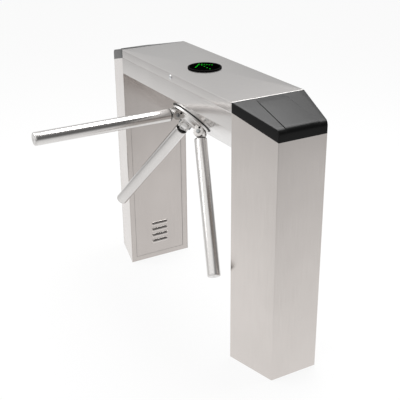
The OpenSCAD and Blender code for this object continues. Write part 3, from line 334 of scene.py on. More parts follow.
# %% Plastics
abs_ior, acrylic_ior, plain_ior = 1.53, 1.49, 1.5
grain_gloss, matt_gloss, film_gloss = 0.2, 0.01, 0.0
cap_abs = surface("grained_black_abs", "#0D0D0D", "#090909", rough=(0.3, 0.38),
                  marks=1.4, lift=0.012, IOR=abs_ior, Specular_IOR_Level=grain_gloss)
rubber = surface("black_epdm_rubber", "#1B1B1B", "#131313", rough=(0.5, 0.62),
                 marks=3.0, lift=0.01, IOR=plain_ior)
matt_abs = surface("matt_black_abs", "#050505", "#030303", rough=(0.4, 0.5),
                   marks=6.0, IOR=abs_ior, Specular_IOR_Level=matt_gloss)
smoked = surface("film_faced_smoked_acrylic", "#020202", "#010101", rough=(0.5, 0.6),
                 marks=30.0, IOR=acrylic_ior, Specular_IOR_Level=film_gloss)
nylon = surface("natural_nylon", "#DAD7CC", "#CBC7BA", rough=(0.42, 0.52),
                marks=5.0, lift=0.01, IOR=abs_ior)
coil = surface("blue_enamelled_coil", "#2B4E86", "#203B68", rough=(0.3, 0.42),
               marks=(0.8, 8.0, 0.8), lift=0.03, IOR=plain_ior)
board = surface("green_solder_mask", "#1D5B38", "#164A2C", rough=(0.28, 0.4),
                marks=(6.0, 6.0, 1.5), lift=0.01, IOR=plain_ior)
print("materials so far:", len(bpy.data.materials))

# %% [markdown]
# ## Lights of the arrow
# Each dot is a green LED under a clear dome. Lit, it is brighter than what stands round it but still green,
# so its emission is kept low enough not to clip to white.

# %% Light dots
led_strength = 1.7
led_green = surface("lit_green_led", "#053A0E", "#04300C", rough=(0.3, 0.36), marks=2.0, IOR=plain_ior,
                    Specular_IOR_Level=matt_gloss, Emission_Color=linear("#00BE0F"),
                    Emission_Strength=led_strength)
print("led emission:", led_strength)

# %% [markdown]
# ## Finishes on the frame's nodes
# The record names a finish slot for every node. One table turns slots into materials, and the upright sheets
# get the steel whose marks run upwards. The door and inner sheets get a darker copy of that steel: painted
# shade, for the shade that falls on them under the bridge.

# %% Dress the nodes
by_slot = {"satin_steel": bridge_steel, "arm_steel": polished_steel, "hub_metal": hub_alloy,
           "cap_plastic": cap_abs, "black_rubber": rubber, "black_plastic": matt_abs,
           "lens_plastic": smoked, "led_green": led_green, "board_green": board, "zinc_plate": zinc,
           "cast_metal": casting, "machined_steel": machined, "dark_fasteners": blackened,
           "lock_chrome": chrome, "coil_blue": coil, "clip_nylon": nylon}
slot_of = {part["node"]: part["material_slot"] for part in frame["record"]["subparts"]}
upright = [name for name in nodes if "column" in name]
inner = [name for name in nodes if "door_panel" in name or "inner_panel" in name]


def dress(obj, material):
    """One material over the whole piece."""
    obj.data.materials.clear()
    obj.data.materials.append(material)


for name, obj in nodes.items():
    plain = by_slot[slot_of[name]]
    # Door and inner sheets take the darker copy of the steel, which is painted shade.
    dress(obj, column_steel if name in upright else inner_steel_painted_shade if name in inner else plain)
print("upright sheets:", sorted(upright + inner))

# %% [markdown]
# ## Surfaces from arrays
# Each new piece is a grid of points worked out at once, with no loop over vertices. One index runs along a
# profile and the other along a path. Four ways of closing a grid serve every piece: flat faces over the ends
# of a tube, poles on the axis of a turned shape, a hoop that meets itself both ways, and an open skin. Equal
# points are merged, and edges sharper than a limit stay sharp, so that flat sheet looks flat.

# %% Grid to mesh
sharp_limit = math.radians(32)
merge_within = 1e-6
# Each way says: does the last row join the first, does the last column, do flat faces close the ends.
flat_ends = (False, True, True)
poles = (False, True, False)
hoop = (True, True, False)
open_skin = (False, False, False)


def grid_faces(rows, columns, wrap_rows, wrap_columns):
    """Quads of a grid of rows by columns; a wrapped direction also joins its last line to its first."""
    i, j = np.meshgrid(np.arange(rows - (not wrap_rows)), np.arange(columns - (not wrap_columns)),
                       indexing="ij")
    i2, j2 = (i + 1) % rows, (j + 1) % columns
    quads = np.stack([i * columns + j, i2 * columns + j, i2 * columns + j2, i * columns + j2], axis=-1)
    return quads.reshape(-1, 4)


def finish_mesh(name, points, faces, slot, material):
    """Puts points and faces into a piece, merges equal points, turns faces outwards and shades it."""
    mesh = bpy.data.meshes.new(name)
    mesh.from_pydata(points.tolist(), [], [list(face) for face in faces])
    work = bmesh.new()
    work.from_mesh(mesh)
    bmesh.ops.remove_doubles(work, verts=work.verts, dist=merge_within)
    bmesh.ops.dissolve_degenerate(work, edges=work.edges, dist=merge_within / 10)
    bmesh.ops.recalc_face_normals(work, faces=work.faces)
    work.to_mesh(mesh)
    work.free()
    mesh.shade_smooth()
    mesh.set_sharp_from_angle(angle=sharp_limit)
    piece = bpy.data.objects.new(name, mesh)
    scene.collection.objects.link(piece)
    dress(piece, material or by_slot[slot])
    return piece


def make_piece(name, grids, slot, material=None):
    """Joins grids of points (rows, columns, 3) into one piece; each comes with its way of closing. The finish
    is the slot's own, unless a material is given."""
    points, faces, start = [], [], 0
    for grid, (wrap_rows, wrap_columns, capped) in grids:
        rows, columns = grid.shape[:2]
        points.append(grid.reshape(-1, 3))
        faces += (grid_faces(rows, columns, wrap_rows, wrap_columns) + start).tolist()
        if capped:
            faces.append(list(range(start, start + columns)))
            faces.append(list(range(start + (rows - 1) * columns, start + rows * columns)))
        start += rows * columns
    return finish_mesh(name, np.concatenate(points), faces, slot, material)


print("edges sharper than", round(math.degrees(sharp_limit)), "degrees stay sharp")

# %% [markdown]
# Three outlines serve nearly every piece: a path whose corners are rounded to arcs, a ring moved inwards
# along its own normals, and a turned profile carried round an axis. Profiles are written in millimetres, as
# on a drawing. Round pieces have 64 sides, unless they are wide or small.

# %% Outlines
X, Y, Z = np.eye(3)
wide_sides, small_sides, dot_sides = 96, 32, 20


def millimetres(points):
    """Points given in mm, as metres."""
    return (np.array(points, float) * mm).tolist()


def quarter(count):
    """Angles from 0 to 90 degrees."""
    return np.linspace(0, math.pi / 2, count)


def rounded(corners, radii, steps=6, closed=False):
    """Path through corners with an arc at each: the arc touches both legs at radius / tan(half the angle)."""
    corners = np.array(corners, float)
    path = []
    count = len(corners)
    for k in range(count):
        if (not closed and k in (0, count - 1)) or radii[k] == 0:
            path.append(corners[k][None])
            continue
        back = corners[k - 1] - corners[k]
        ahead = corners[(k + 1) % count] - corners[k]
        back /= np.linalg.norm(back)
        ahead /= np.linalg.norm(ahead)
        half = np.arccos(np.clip(back @ ahead, -1, 1)) / 2
        reach = radii[k] / np.tan(half)
        middle = (back + ahead) / np.linalg.norm(back + ahead)
        centre = corners[k] + middle * radii[k] / np.sin(half)
        from_v = corners[k] + back * reach - centre
        to_v = corners[k] + ahead * reach - centre
        t = np.linspace(0, 1, steps + 1)[:, None]
        whole = math.pi - 2 * half
        path.append(centre + (np.sin((1 - t) * whole) * from_v + np.sin(t * whole) * to_v) / np.sin(whole))
    return np.concatenate(path)


def rectangle(half_x, half_y, corner, steps=6):
    """A rectangle about the origin whose corners are arcs of one radius."""
    corners = np.array([(-1, -1), (1, -1), (1, 1), (-1, 1)]) * (half_x, half_y)
    return rounded(corners, [corner] * 4, steps, closed=True)


def arc(centre, radius, start, end, count):
    """Points on a circle between two angles in degrees: centre plus radius times cosine and sine."""
    a = np.radians(np.linspace(start, end, count))
    return np.stack([centre[0] + radius * np.cos(a), centre[1] + radius * np.sin(a)], axis=1)


def path_normals(path, closed):
    """Unit normals on the left of a flat path: the sum of its two neighbour directions, turned 90 degrees,
    lengthened at corners so that an offset keeps its distance."""
    if closed:
        back, ahead = path - np.roll(path, 1, 0), np.roll(path, -1, 0) - path
    else:
        steps = np.diff(path, axis=0)
        back = np.concatenate([steps[:1], steps])
        ahead = np.concatenate([steps, steps[-1:]])
    back = back / np.linalg.norm(back, axis=1, keepdims=True)
    ahead = ahead / np.linalg.norm(ahead, axis=1, keepdims=True)
    middle = back + ahead
    middle /= np.linalg.norm(middle, axis=1, keepdims=True)
    stretch = 1 / np.clip(np.sum(middle * ahead, axis=1, keepdims=True), 0.5, 1)
    return np.stack([-middle[:, 1], middle[:, 0]], axis=1) * stretch


def fillet(r0, z0, r1, z1, steps=5):
    """Quarter round between two points of a profile, leaving the first along z and reaching the second
    along r: an ellipse arc."""
    a = quarter(steps + 1)
    return np.stack([r1 + (r0 - r1) * np.cos(a), z0 + (z1 - z0) * np.sin(a)], axis=1).tolist()


def turned(profile, axes, origin, sides=64):
    """Surface of revolution: each (radius, height) of the profile goes round the third axis."""
    profile = np.array(profile, float)
    a = np.linspace(0, 2 * math.pi, sides, endpoint=False)
    ring = np.cos(a)[:, None] * axes[0] + np.sin(a)[:, None] * axes[1]
    return origin + profile[:, 0][:, None, None] * ring[None] + profile[:, 1][:, None, None] * axes[2]


def slab(outline, low, high, edge, axes, origin):
    """A plate: its outline is carried along the third axis, and both faces have a rounded edge; the rings
    draw in by edge times (1 - cos) while they rise by edge times sin."""
    normals = path_normals(outline, True)
    area = np.sum(outline[:, 0] * np.roll(outline[:, 1], -1) - np.roll(outline[:, 0], -1) * outline[:, 1])
    inward = normals if area > 0 else -normals
    a = quarter(4)
    inset = np.concatenate([edge * (1 - np.sin(a)), edge * (1 - np.cos(a))])
    level = np.concatenate([low + edge * (1 - np.cos(a)), high - edge * (1 - np.sin(a))])
    ring = outline[None] + inward[None] * inset[:, None, None]
    return origin + ring[..., :1] * axes[0] + ring[..., 1:] * axes[1] + level[:, None, None] * axes[2]


print("a rounded square has", len(rectangle(0.5, 0.5, 0.1)), "points")

# %% [markdown]
# ## Folded sheet
# Cabinets like this are cut from 2 mm sheet and bent on a press brake, whose tool leaves an outer radius of
# about one and a half times the sheet's thickness. So a folded sheet is a path with rounded corners, a second
# path one thickness inside it, and a straight run. The grid goes round the four edges of that band.

# %% Folded sheet
sheet = 2 * mm
bend_r = 3 * mm
cutter_half = 9 * mm
cutter_sides = 48


def folded_sheet(path, start, end, axes):
    """Band of sheet: path lies in the plane of the first two axes, the metal is on its left, and it runs
    along the third axis from start to end, which may change along the path."""
    inner = path + path_normals(path, False) * sheet
    start = np.broadcast_to(start, len(path))
    end = np.broadcast_to(end, len(path))
    edges = [(path, start), (path, end), (inner, end), (inner, start)]
    ring = [flat[:, :1] * axes[0] + flat[:, 1:] * axes[1] + run[:, None] * axes[2] for flat, run in edges]
    return np.stack(ring, axis=1)


def cut_round(piece, centre, axis, radius):
    """Cuts a round hole with a boolean and a plain cutter, which is deleted afterwards. The axis lies in the
    YZ plane."""
    side = np.cross(axis, X)
    axes = (side, np.cross(axis, side), axis)
    profile = [(0, -cutter_half), (radius, -cutter_half), (radius, cutter_half), (0, cutter_half)]
    cutter = make_piece("cutter", [(turned(profile, axes, centre, cutter_sides), poles)], "zinc_plate")
    cut = piece.modifiers.new("hole", "BOOLEAN")
    cut.object = cutter
    cut.solver = "EXACT"
    bpy.context.view_layer.update()
    result = bpy.data.meshes.new_from_object(piece.evaluated_get(bpy.context.evaluated_depsgraph_get()))
    piece.modifiers.clear()
    piece.data = result
    result.set_sharp_from_angle(angle=sharp_limit)
    bpy.data.objects.remove(cutter)
    return piece


print("bend radius:", bend_r / mm, "mm")

# %% [markdown]
# ## Columns
# Each column is one sheet folded round three sides and tapered towards its outer end. Its top edge falls
# outwards under the cap. Seen from above the sheet is an open path with two bends, so it is a folded sheet
# that stands upright and whose far edge changes along the path.

# %% Column shells
cabinet_low, cabinet_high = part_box("near_column_shell")
inner_x, outer_x = cabinet_low.x, cabinet_high.x
half_depth = cabinet_high.y
seam_z = cabinet_high.z
end_half = 95 * mm
edge_fall = 53 * mm
column_run = outer_x - inner_x
both_ends = (("near", 1), ("far", -1))


def fix(piece, body, *replaced):
    """Fixes a finished piece to its body and hides the plain nodes that it stands for."""
    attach(piece, body)
    if replaced:
        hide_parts(*replaced)
    return piece


def column_shell(name, side):
    """Plan path from the front inner edge round the outer end to the back inner edge, carried up Z."""
    corners = [(inner_x, -half_depth), (outer_x, -end_half), (outer_x, end_half), (inner_x, half_depth)]
    path = rounded(corners, [0, bend_r, bend_r, 0])
    top = seam_z - edge_fall * (path[:, 0] - inner_x) / column_run
    path = path * (side, 1)
    if side < 0:
        path, top = path[::-1], top[::-1]
    grid = folded_sheet(path, 0.0, top, (X, Y, Z))
    piece = make_piece(name + "_column_sheet", [(grid, flat_ends)], "satin_steel", column_steel)
    return fix(piece, "cabinet", name + "_column_shell")


for name, side in both_ends:
    piece = column_shell(name, side)
    print(piece.name, len(piece.data.polygons), "faces")

# %% [markdown]
# ## Bridge panels
# The front panel is one long sheet: a flange at the seam, an upright strip, the slanted face that carries the
# hub, and the underside. The back panel stands on it and has a flange of its own. Both are folded sheets that
# run along X. The hole behind the hub is cut with a boolean, because it is the only round hole in the sheet.
# A small bent strip inside the front flange is the keeper that the lid's lock catches.

# %% Bridge panels
under_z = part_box("bridge_front_panel")[0].z
strip_height = 63 * mm
flange_width = 15 * mm + sheet
front_hole_r = 40 * mm
brow_z = seam_z - strip_height
slant_y = -half_depth + brow_z - under_z
hub_out = np.array([0.0, -1.0, -1.0]) / math.sqrt(2)
hub_up = np.array([0.0, -1.0, 1.0]) / math.sqrt(2)
seal_low, seal_high = (np.array(corner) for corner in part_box("hub_seal_ring"))
seal_node_thick = 3 * mm
hub_centre = (seal_low + seal_high) / 2 - hub_out * seal_node_thick / 2
front_path = rounded([(flange_width - half_depth, seam_z), (-half_depth, seam_z), (-half_depth, brow_z),
                      (slant_y, under_z), (half_depth, under_z)], [0, bend_r, bend_r, bend_r, 0])
front_grid = folded_sheet(front_path, -inner_x, inner_x, (Y, Z, X))
front = make_piece("bridge_front_sheet", [(front_grid, flat_ends)], "satin_steel")
cut_round(front, hub_centre, hub_out, front_hole_r)
fix(front, "cabinet", "bridge_front_panel")
back_path = rounded([(half_depth, under_z + sheet), (half_depth, seam_z),
                     (half_depth - flange_width, seam_z)], [0, bend_r, 0])
back_grid = folded_sheet(back_path, -inner_x, inner_x, (Y, Z, X))
back = make_piece("bridge_back_sheet", [(back_grid, flat_ends)], "satin_steel")
fix(back, "cabinet", "bridge_back_panel")
keeper_post, keeper_tip = 33.5 * mm, 16 * mm
keeper_top = 27.8 * mm
keeper_from, keeper_to = -128 * mm, -120 * mm
keeper_path = rounded([(keeper_post, seam_z - sheet), (keeper_post, seam_z + keeper_top),
                       (keeper_tip, seam_z + keeper_top)], [0, bend_r, 0])
keeper_grid = folded_sheet(keeper_path, keeper_from, keeper_to, (X, Z, Y))
keeper = make_piece("lid_keeper", [(keeper_grid, flat_ends)], "satin_steel")
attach(keeper, "cabinet")
print("slanted face:", round((brow_z - under_z) / mm), "mm high, hub at", np.round(hub_centre, 4))

# %% [markdown]
# ## Lid
# The lid is a shallow pan folded on all four sides. Its rings start at the inner rim, go round the lower edge
# and up the skirt, turn over the bend onto the top, reach the round opening under the indicator, and come
# back along the inside. Ring points keep their direction from the centre, so the flat top never folds over
# itself.

# %% Lid
lid_low, lid_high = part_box("lid_panel")
lid_bend = 1.4 * mm
rim_gap = 0.8 * mm
lid_rim = lid_low.z + rim_gap
lid_corner = 3 * mm
lid_hole_r = 50 * mm
lock_hole_r = 7.8 * mm
lock_up = 20 * mm
ring_step = 12 * mm


def denser(path, step, closed):
    """Adds points along straight stretches: positions every step are merged with the corners' own."""
    loop = np.concatenate([path, path[:1]]) if closed else path
    length = np.concatenate([[0], np.cumsum(np.linalg.norm(np.diff(loop, axis=0), axis=1))])
    places = np.unique(np.round(np.concatenate([length, np.arange(0, length[-1], step)]), 7))
    dense = np.stack([np.interp(places, length, loop[:, k]) for k in range(2)], axis=1)
    return dense[:-1] if closed else dense


lid_ring = denser(rectangle(lid_high.x, lid_high.y, lid_corner), ring_step, True)
lid_inward = path_normals(lid_ring, True)
lid_circle = lid_ring / np.linalg.norm(lid_ring, axis=1, keepdims=True) * lid_hole_r
bend = quarter(6)
inset = np.concatenate([[sheet, 0], lid_bend * (1 - np.cos(bend))])
level = np.concatenate([[lid_rim, lid_rim], lid_high.z - lid_bend * (1 - np.sin(bend))])
flat_rings = [lid_ring + lid_inward * distance for distance in inset] + [lid_circle, lid_circle]
flat_rings.append(lid_ring + lid_inward * sheet)
levels = np.concatenate([level, [lid_high.z, lid_high.z - sheet, lid_high.z - sheet]])
lid_grid = np.stack([np.column_stack([ring, np.full(len(ring), z)]) for ring, z in zip(flat_rings, levels)])
lid = make_piece("lid_pan", [(lid_grid, hoop)], "satin_steel")
lock_centre = np.array([0.0, -half_depth, seam_z + lock_up])
cut_round(lid, lock_centre, Y, lock_hole_r)
fix(lid, "lid", "lid_panel")
print("lid:", round(2 * lid_high.x / mm), "by", round(2 * lid_high.y / mm), "mm")

# %% [markdown]
# The lid's lock shows a chromed head with a slot for the key. A turned face with a rolled rim, a shallow
# groove and a crown lies over the plain head and turns with it. The keyway is painted shade: a thin dark
# plate let into the face, standing for the shade inside the slot, with no hole behind it.

# %% Lock face
lock_profile = millimetres([(0, 0.2), (9.2, 0.2)] + fillet(9.2, 1.4, 7.4, 3.2)
                           + [(6.9, 3.1), (6.6, 2.7), (6.2, 2.9), (5.2, 3.3), (3.2, 3.6), (0, 3.7)])
lock_axes = (X, Z, -Y)
lock_grid = turned(lock_profile, lock_axes, lock_centre)
lock_face = make_piece("lid_lock_face", [(lock_grid, poles)], "lock_chrome")
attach(lock_face, "lid_lock")
slot_half_wide, slot_half_long = 0.7 * mm, 3.4 * mm
slot_corner, slot_edge = 0.3 * mm, 0.1 * mm
slot_floor, slot_top = 3.0 * mm, 3.75 * mm
slot_outline = rectangle(slot_half_wide, slot_half_long, slot_corner, steps=3)
slot_grid = slab(slot_outline, slot_floor, slot_top, slot_edge, lock_axes, lock_centre)
# Painted shade: the keyway is a flat black plate, dark in place of the shade in a real slot.
keyhole_shade_plate = make_piece("lid_lock_painted_keyhole_shade", [(slot_grid, flat_ends)], "black_plastic")
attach(keyhole_shade_plate, "lid_lock")
print("lock head:", 2 * max(r for r, z in lock_profile) / mm, "mm across")

# %% [markdown]
# ## End caps
# The caps are moulded in black ABS with a thin wall. From the side the outline rises at the bridge, slopes
# down, rolls over a 21 mm nose and drops to the lower edge. Across that outline the section is flat, with a
# raised centre panel that grows towards the nose, a groove beside it and a small round at both edges. The
# same points, drawn in by the wall, make the lining.

# %% End caps
cap_fall = 47.5 * mm
cap_wall = 2.2 * mm
nose_r = 21 * mm
cap_round = 2.5 * mm
panel_rise = 2.2 * mm
panel_lip = 1.0 * mm
groove_deep = 1.2 * mm
groove_half = 0.8 * mm
panel_start = 14 * mm
panel_from, panel_to = 57 * mm, 66 * mm
panel_soft = 0.5 * mm
groove_end = 6 * panel_soft
cap_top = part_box("near_end_cap")[1].z


def cap_half(x):
    """Half depth of the cap at a distance from the bridge: a straight taper."""
    return half_depth - (half_depth - end_half) * x / column_run


def cap_line(x):
    """Height of the cap's lower edge: a straight fall outwards."""
    return seam_z - edge_fall * x / column_run


def soft_step(value):
    """0 below 0, 1 above 1, and 3 v^2 - 2 v^3 between."""
    v = np.clip(value, 0, 1)
    return v * v * (3 - 2 * v)


def cap_skin():
    """Rows follow the side outline and columns cross it; column half widths widen with the panel and
    narrow with the taper, and the last ones turn down the side to the lower edge."""
    outline = rounded([(0, seam_z), (0, cap_top), (column_run, cap_top - cap_fall),
                       (column_run, seam_z - edge_fall)], [0, 0, nose_r, 0], steps=12)
    outline = denser(outline, ring_step, False)
    normal = path_normals(outline, False)
    x = outline[:, 0]
    panel = panel_from + (panel_to - panel_from) * (x - panel_start) / (column_run - panel_start)
    flat = cap_half(x) - cap_round
    coarse, fine = 4, 18
    spans = [np.linspace(0 * x, panel - panel_soft, coarse)[:-1],
             np.linspace(panel - panel_soft, panel + groove_end, fine)[:-1],
             np.linspace(panel + groove_end, flat, coarse)]
    y_top = np.concatenate(spans).T
    faces_up = np.clip(normal[:, 1], 0, 1) * soft_step((x - panel_start) / panel_soft)
    rise = (panel_lip + (panel_rise - panel_lip) * x / column_run) * faces_up
    past_panel = y_top - panel[:, None] - panel_soft
    lift = rise[:, None] * soft_step(-past_panel / (2 * panel_soft))
    lift -= groove_deep * faces_up[:, None] * np.exp(-(past_panel / groove_half) ** 2)
    top = np.stack([np.broadcast_to(x[:, None], y_top.shape), y_top, outline[:, 1:] + lift], axis=-1)
    turn = quarter(7)[1:]
    drawn = outline[:, None, :] - normal[:, None, :] * (cap_round * (1 - np.cos(turn)))[None, :, None]
    y_round = cap_half(drawn[..., 0]) - cap_round + cap_round * np.sin(turn)
    edge = np.stack([drawn[..., 0], y_round, drawn[..., 1]], axis=-1)
    last = edge[:, -1]
    foot = np.stack([last[:, 0], last[:, 1], np.minimum(last[:, 2], cap_line(last[:, 0]))], axis=-1)
    half = np.concatenate([top, edge, foot[:, None]], axis=1)
    other = half[:, :0:-1] * (1, -1, 1)
    return np.concatenate([other, half], axis=1)


def cap_lining(skin):
    """The inside: the skin shrunk by the wall along x and y, and lowered by it down to the lower edge."""
    x, y, z = skin[..., 0], skin[..., 1], skin[..., 2]
    half = cap_half(x)
    inside_x = cap_wall + x * (column_run - 2 * cap_wall) / column_run
    return np.stack([inside_x, y * (half - cap_wall) / half, np.maximum(z - cap_wall, cap_line(x))], axis=-1)


def end_cap(name, side):
    """Skin and lining as one loop per row. The far cap is turned half round, so its faces stay outwards."""
    skin = cap_skin()
    shell = np.concatenate([skin, cap_lining(skin)[:, ::-1]], axis=1)
    shell = (shell + (inner_x, 0, 0)) * (side, side, 1)
    cap = make_piece(name + "_cap_moulding", [(shell, flat_ends)], "cap_plastic")
    return fix(cap, "cabinet", name + "_end_cap")


for name, side in both_ends:
    cap = end_cap(name, side)
    print(cap.name, len(cap.data.polygons), "faces")

# %% [markdown]
# ## Hub: seal, flange and body
# The hub turns on the axis of the slanted face. Turned parts are profiles carried round that axis. A closed
# profile gives a ring with a bore, so its grid wraps both ways and needs no end faces. Small rounds catch the
# light as machined and moulded edges do.

# %% Hub frame and turned rings
hub_axes = (X, hub_up, hub_out)
edge_r = 0.8 * mm


def turned_ring(name, profile, axes, origin, slot):
    """A ring from a closed profile."""
    return make_piece(name, [(turned(profile, axes, origin, wide_sides), hoop)], slot)


seal_profile = millimetres([(28, 0), (88, 0), (88, 1.2)] + fillet(88, 1.2, 86.8, 2.4)
                           + [(85.4, 2.4), (84.8, 1.8), (83, 1.8), (82.4, 2.4), (28, 2.4)])
seal = turned_ring("hub_seal_moulding", seal_profile, hub_axes, hub_centre, "black_rubber")
fix(seal, "cabinet", "hub_seal_ring")
flange_profile = millimetres([(15.05, 2.9), (79.4, 2.9), (80, 3.5), (80, 10)] + fillet(80, 10, 78.5, 11.5)
                             + [(59, 11.5), (58, 12.3), (58, 14.3)] + fillet(58, 14.3, 56.8, 15.5)
                             + [(15.05, 15.5)])
flange = turned_ring("hub_flange_turned", flange_profile, hub_axes, hub_centre, "hub_metal")
fix(flange, "rotor", "hub_flange")
print("seal and flange on the axis", np.round(hub_out, 3))

# %% [markdown]
# The body is a casting: a low round core with three pairs of ears. An ear is a plate with a round end, so it
# is one outline carried across the arm with rounded edges. The plane of each arm is the first one turned by a
# third of a turn about the hub's axis. The arms' axes meet in one point inside the cabinet, the apex.

# %% Hub body
arm_turns = np.radians([0, -120, 120])
apex_deep = 36.8 * mm
apex = hub_centre - hub_out * apex_deep
pivot_at = 96 * mm
pivot_radial = pivot_at / math.sqrt(2)
pivot_height = pivot_radial - apex_deep
ear_r = 20 * mm
ear_inside, ear_outside = 13.5 * mm, 21.5 * mm
ear_edge = 1.4 * mm
ear_foot, ear_heel = millimetres([(36, 11.5), (36, 24)])


def arm_plane(turn):
    """Radial, outward and across directions of the plane that an arm lies in."""
    radial = -math.sin(turn) * X + math.cos(turn) * hub_up
    across = math.cos(turn) * X + math.sin(turn) * hub_up
    return radial, hub_out, across


def ear_outline():
    """An arc round the pivot, closed by a foot and a heel inside the core."""
    round_end = arc((pivot_radial, pivot_height), ear_r, start=-100, end=180, count=40)
    return np.concatenate([[ear_foot], round_end, [ear_heel]])


core_profile = millimetres([(6, 15.5), (48, 15.5), (48, 23)] + fillet(48, 23, 44, 27)
                           + [(12.8, 27), (12, 26.2), (12, 22), (6, 22)])
body = turned_ring("hub_body_casting", core_profile, hub_axes, hub_centre, "hub_metal")
fix(body, "rotor", "hub_body")
ear_grids = [(slab(ear_outline(), low, high, ear_edge, arm_plane(turn), hub_centre), flat_ends)
             for turn in arm_turns for low, high in ((ear_inside, ear_outside), (-ear_outside, -ear_inside))]
ears = make_piece("hub_ear_plates", ear_grids, "hub_metal", ear_steel)
fix(ears, "rotor", "hub_body")
print("ears:", len(ear_grids))

# %% [markdown]
# ## Screws of the hub
# A socket screw head is a turned profile whose innermost rings are hexagons. A hexagon in polar form has the
# radius R cos 30 / cos(angle - 30) within each sixth, so the same grid can pass from round to six-sided. The
# arms' plungers are small turned pieces that stand a little proud of the ears.

# %% Socket heads, nuts and plungers
socket_r = 4.2 * mm


def hexagon(radius, sides):
    """Unit circle points scaled to a hexagon: the polar formula of a straight side, six times."""
    a = np.linspace(0, 2 * math.pi, sides, endpoint=False)
    r = radius * math.cos(math.pi / 6) / np.cos(np.mod(a, math.pi / 3) - math.pi / 6)
    return np.stack([r * np.cos(a), r * np.sin(a)], axis=1)


def socket_head(radius, height, deep, axes, origin, sides=48):
    """Rings from the socket's floor up its six walls, over the crowned top and down the side."""
    a = np.linspace(0, 2 * math.pi, sides, endpoint=False)
    circle = np.stack([np.cos(a), np.sin(a)], axis=1)
    crown = quarter(6)
    round_r = 1.6 * mm
    rings = [circle * 0, hexagon(socket_r, sides), hexagon(socket_r, sides)]
    levels = [height - deep, height - deep, height]
    for angle in crown:
        rings.append(circle * (radius - round_r * (1 - math.sin(angle))))
        levels.append(height - round_r * (1 - math.cos(angle)))
    rings += [circle * radius, circle * 0]
    levels += [0, 0]
    ring = np.stack(rings)
    rise = np.array(levels)[:, None, None]
    return origin + ring[..., :1] * axes[0] + ring[..., 1:] * axes[1] + rise * axes[2]


def flipped(axes):
    """The same axes seen from the other side."""
    return axes[0], axes[1], -axes[2]


bolt_grids, plunger_grids = [], []
bolt_head_r, bolt_head_high, bolt_socket_deep = 7.5 * mm, 5 * mm, 3 * mm
shank_r = 5 * mm
nut_r, nut_high, nut_corner = 8.6 * mm, 5 * mm, 0.9 * mm
screw_head_r, screw_head_high, screw_socket_deep, screw_out = 9 * mm, 3 * mm, 2 * mm, 24 * mm
plunger_angle = math.radians(-112.5)
plunger_reach = 15 * mm
shank = [(0, -ear_outside), (shank_r, -ear_outside), (shank_r, ear_outside), (0, ear_outside)]
nut_outline = rounded(hexagon(nut_r, 6).tolist(), [nut_corner] * 6, steps=3, closed=True)
plunger_profile = millimetres([(0, 13.8), (4.5, 13.8), (4.5, 21.7), (4.1, 22.2), (3.0, 22.55), (0, 22.7)])
for turn in arm_turns:
    axes = arm_plane(turn)
    pivot = hub_centre + axes[0] * pivot_radial + axes[1] * pivot_height
    bolt_grids.append((socket_head(bolt_head_r, bolt_head_high, bolt_socket_deep, axes,
                                   pivot + axes[2] * ear_outside), poles))
    bolt_grids.append((turned(shank, axes, pivot, small_sides), poles))
    bolt_grids.append((slab(nut_outline, -ear_outside - nut_high, -ear_outside, edge_r, axes, pivot),
                       flat_ends))
    spot = pivot + (axes[0] * math.cos(plunger_angle) + axes[1] * math.sin(plunger_angle)) * plunger_reach
    for facing in (axes, flipped(axes)):
        plunger_grids.append((turned(plunger_profile, facing, spot, small_sides), poles))
bolts = make_piece("pivot_bolt_set", bolt_grids, "dark_fasteners")
fix(bolts, "rotor", "pivot_bolts")
plungers = make_piece("arm_plunger_set", plunger_grids, "black_plastic")
fix(plungers, "rotor", "arm_plungers")
screw_grid = socket_head(screw_head_r, screw_head_high, screw_socket_deep, hub_axes,
                         hub_centre + hub_out * screw_out)
centre_screw = make_piece("hub_centre_screw", [(screw_grid, poles)], "dark_fasteners")
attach(centre_screw, "rotor")
print("bolt pieces:", len(bolt_grids), "plungers:", len(plunger_grids))

# %% [markdown]
# ## Arms
# An arm is a cast knuckle, a rubber gasket, a polished tube and a pressed plug. The two lower arms turn with
# the hub. The barrier arm has a pivot of its own, so that it can drop in an emergency, and so its pieces ride
# on another body. Everything but the knuckle's tongue is turned about the arm's own axis.

# %% Arms
arm_r = 24 * mm
tongue_half = 13 * mm
tongue_r = 18 * mm
plug_round = 5 * mm
arm_end = 647 * mm


def arm_axes(turn):
    """Across, sideways and lengthways directions of an arm: the arm leans halfway between radial and out."""
    radial, out, across = arm_plane(turn)
    return across, (radial - out) / math.sqrt(2), (radial + out) / math.sqrt(2)


neck_profile = millimetres([(0, 109), (10.6, 109), (12, 113.4), (12, 122.5), (21.9, 122.5), (21.9, 166),
                            (20.9, 167), (0, 167)])
gasket_profile = millimetres([(12.05, 120.5), (22.7, 120.5), (23.3, 120.9), (23.5, 121.5), (23.5, 122.5),
                              (12.05, 122.5)])
tube_profile = millimetres([(22, 122.5), (22.6, 122.5)] + fillet(22.6, 122.5, 24, 124.6)
                           + [(24, 639.6), (23.6, 640), (22, 640)])
plug_profile = (millimetres([(0, 610), (21.9, 610), (21.9, 640), (23.7, 640), (24, 640.3)])
                + fillet(arm_r, arm_end - plug_round, arm_r - plug_round, arm_end, steps=8)
                + millimetres([(6, 647), (5, 646.6), (0, 646.4)]))


def knuckle_grids(turn):
    """A tongue, whose outline is an arc round the pivot and two straight cheeks, and a turned neck."""
    across, sideways, along = arm_axes(turn)
    round_end = arc((0, 0), tongue_r, start=42, end=318, count=48)
    outline = np.concatenate([round_end, millimetres([(17, -12), (17, 12)])])
    tongue = slab(outline, -tongue_half, tongue_half, ear_edge, (along, sideways, across),
                  apex + along * pivot_at)
    return [(tongue, flat_ends), (turned(neck_profile, (across, sideways, along), apex), poles)]


